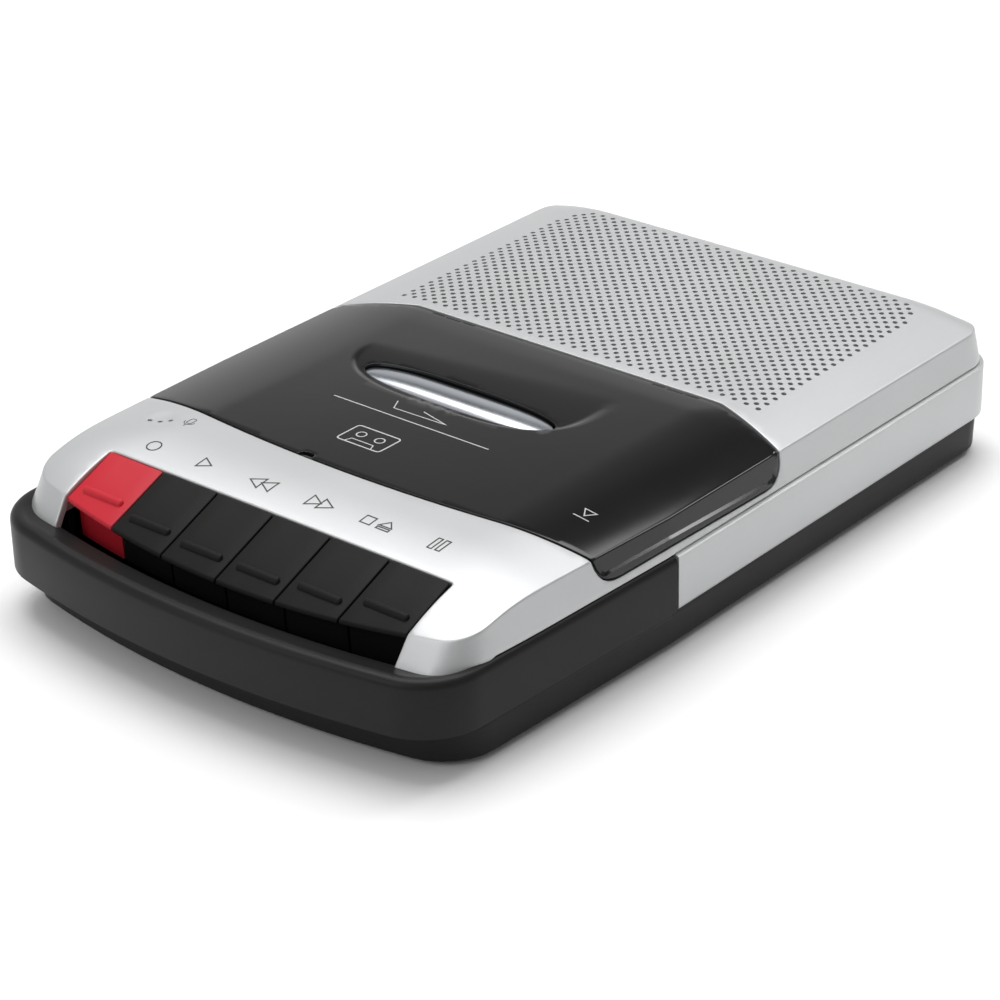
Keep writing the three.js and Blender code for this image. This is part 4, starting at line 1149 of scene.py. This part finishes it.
def key_symbols():
    """Drawn above each key in one line that rises slightly to the right, as the window's edge does."""
    pen = 0.38

    def y_at(x):
        return SYMBOL_Y + SYMBOL_SKEW * x

    def at(x):
        return x, y_at(x)

    lines = [(small_circle(*at(-48.4), 1.95, 28), pen, True), (triangle(*at(-30.5), 4.1), pen, True)]
    lines += [(triangle(*at(x), 4.4, -1), pen, True) for x in (-13.7, -10.0)]
    lines += [(triangle(*at(x), 4.4), pen, True) for x in (5.7, 9.4)]
    lines.append((rectangle(*at(22.6), 3.1, 3.1), pen, True))
    eject_x, eject_y = at(28.2)
    eject = [(eject_x - 2, eject_y - 0.4), (eject_x + 2, eject_y - 0.4), (eject_x, eject_y + 1.9)]
    lines.append((eject, pen, True))
    lines.append((rectangle(eject_x, eject_y - 1.4, 3.9, 0.8), pen, True))
    lines += [(rectangle(*at(x), 1.3, 4.6), pen, True) for x in (43.3, 45.7)]
    # A small microphone symbol beside the microphone's dish.
    mx, my = -49.7, -64.7
    lines.append((rounded(rectangle(mx, my + 0.5, 1.6, 2.8), [0.7] * 4, 4), 0.22, True))
    lines.append((arc(mx, my, 1.6, math.pi, 2 * math.pi, 10), 0.22, False))
    lines.append(([(mx, my - 1.7), (mx, my - 2.6)], 0.22, False))
    marks("key_symbols", lines, "print_dark", "case")


def door_symbols():
    pen = 0.3
    lines = [([(-15.3, -22.8), (-13.4, -26.6), (3.9, -26.1), (-5.6, -23.7)], pen, False)]
    # A plain rule stands where the photographed door has a line of words.
    lines.append(([(-31.0, -30.3), (21.7, -30.3)], 0.35, False))
    # A cassette pictogram: shell, two reels and the tape opening.
    cx, cy = -6.5, -44.0
    lines.append((rounded(rectangle(cx, cy, 14.4, 9.0), [1.2] * 4), 0.42, True))
    lines += [(small_circle(cx + s * 3.1, cy + 0.7, 1.35, 20), 0.34, True) for s in (-1, 1)]
    mouth = [(cx - 4.4, cy - 4.2), (cx - 3.6, cy - 2.4), (cx + 3.6, cy - 2.4), (cx + 4.4, cy - 4.2)]
    lines.append((mouth, 0.3, False))
    # A press-here arrow near the corner where the door is pushed shut.
    ax, ay = 62.0, -41.0
    lines.append(([(ax - 1.8, ay + 1.4), (ax + 1.8, ay + 1.4), (ax, ay - 1.4)], 0.3, True))
    lines.append(([(ax - 2.4, ay - 2.6), (ax + 2.4, ay - 2.6)], 0.3, False))
    marks("door_symbols", lines, "print_light", "door", lift=door_lift)


# ---- Assembly ----
def build_object():
    upper_housing()
    cassette_door()
    door_insert()
    for node in KEY_NODES:
        piano_key(node)
    carrying_handle()
    side_band()
    key_symbols()
    door_symbols()
    done = {"upper_housing", "cassette_door", "door_insert", "carrying_handle", "side_band", *KEY_NODES}
    for node in sorted(frame["nodes"]):
        if node not in done:
            refined(node)


# ---- Stage and light ----
def make_floor():
    floor = block("floor", (-4000, -4000, -20), (4000, 4000, 0))
    n = Nodes("floor_white")
    s = n.shader
    s.inputs["Base Color"].default_value = (0.96, 0.96, 0.96, 1)
    n.link(n.remap(n.noise(400.0, 2.0), 0.3, 0.7, 0.50, 0.60), s.inputs["Roughness"])
    s.inputs["Specular IOR Level"].default_value = 0.25
    floor.data.materials.append(n.mat)


def make_world():
    """Studio light by direction: a ramp over height to the rear, a soft rise in front, dimmer to +X."""
    world = bpy.data.worlds.new("studio")
    bpy.context.scene.world = world
    world.use_nodes = True
    tree = world.node_tree
    background = tree.nodes["Background"]
    coords = tree.nodes.new("ShaderNodeTexCoord")
    split = tree.nodes.new("ShaderNodeSeparateXYZ")
    tree.links.new(coords.outputs["Generated"], split.inputs["Vector"])
    rear = tree.nodes.new("ShaderNodeValToRGB")
    ramp = rear.color_ramp
    ramp.interpolation = "EASE"
    stops = [(0.15, 1.0), (0.35, 0.97), (0.41, 0.92), (0.43, 0.55), (0.46, 0.36), (0.52, 0.24),
             (0.60, 0.09), (0.68, 0.10), (0.75, 0.14), (0.82, 0.72)]
    for end, position in zip(ramp.elements, (0.0, 1.0)):
        end.position, end.color = position, (1, 1, 1, 1)
    for position, value in stops:
        ramp.elements.new(position).color = (value, value, value, 1)
    tree.links.new(split.outputs["Z"], rear.inputs["Fac"])
    toward = tree.nodes.new("ShaderNodeVectorMath")
    toward.operation = "DOT_PRODUCT"
    toward.inputs[1].default_value = (0.5, -0.85, 0.0)
    tree.links.new(coords.outputs["Generated"], toward.inputs[0])
    mix = tree.nodes.new("ShaderNodeMix")
    mix.data_type = "RGBA"
    tree.links.new(remapped(tree, toward.outputs["Value"], -0.35, 0.35, 0, 1), mix.inputs["Factor"])
    tree.links.new(rear.outputs["Color"], mix.inputs["A"])
    tree.links.new(remapped(tree, split.outputs["Z"], 0.15, 0.55, 0.5, 1.0), mix.inputs["B"])
    dim = tree.nodes.new("ShaderNodeVectorMath")
    dim.operation = "SCALE"
    tree.links.new(mix.outputs["Result"], dim.inputs["Vector"])
    tree.links.new(remapped(tree, split.outputs["X"], 0.0, 0.6, 1.0, 0.5), dim.inputs["Scale"])
    tree.links.new(dim.outputs["Vector"], background.inputs["Color"])
    background.inputs["Strength"].default_value = 0.74


def area_light(name, place, target, size, power):
    data = bpy.data.lights.new(name, "AREA")
    data.shape = "RECTANGLE"
    data.size, data.size_y = size
    data.energy = power
    light = bpy.data.objects.new(name, data)
    light.location = place
    light.rotation_mode = "QUATERNION"
    light.rotation_quaternion = (Vector(target) - Vector(place)).to_track_quat("-Z", "Y")
    bpy.context.scene.collection.objects.link(light)


def make_lights():
    area_light("overhead_softbox", (-0.3, 0.3, 1.3), (0, 0, 0), (1.2, 1.2), 16.0)
    area_light("front_softbox", (-0.3, -1.3, 0.9), (0, 0, 0.02), (1.0, 0.7), 3)
    area_light("rear_softbox", (0.32, 1.08, 1.12), (0, 0, 0.02), (0.32, 0.32), 3.2)


build_object()
make_floor()
make_world()
make_lights()
bpy.context.scene.view_settings.view_transform = "Standard"
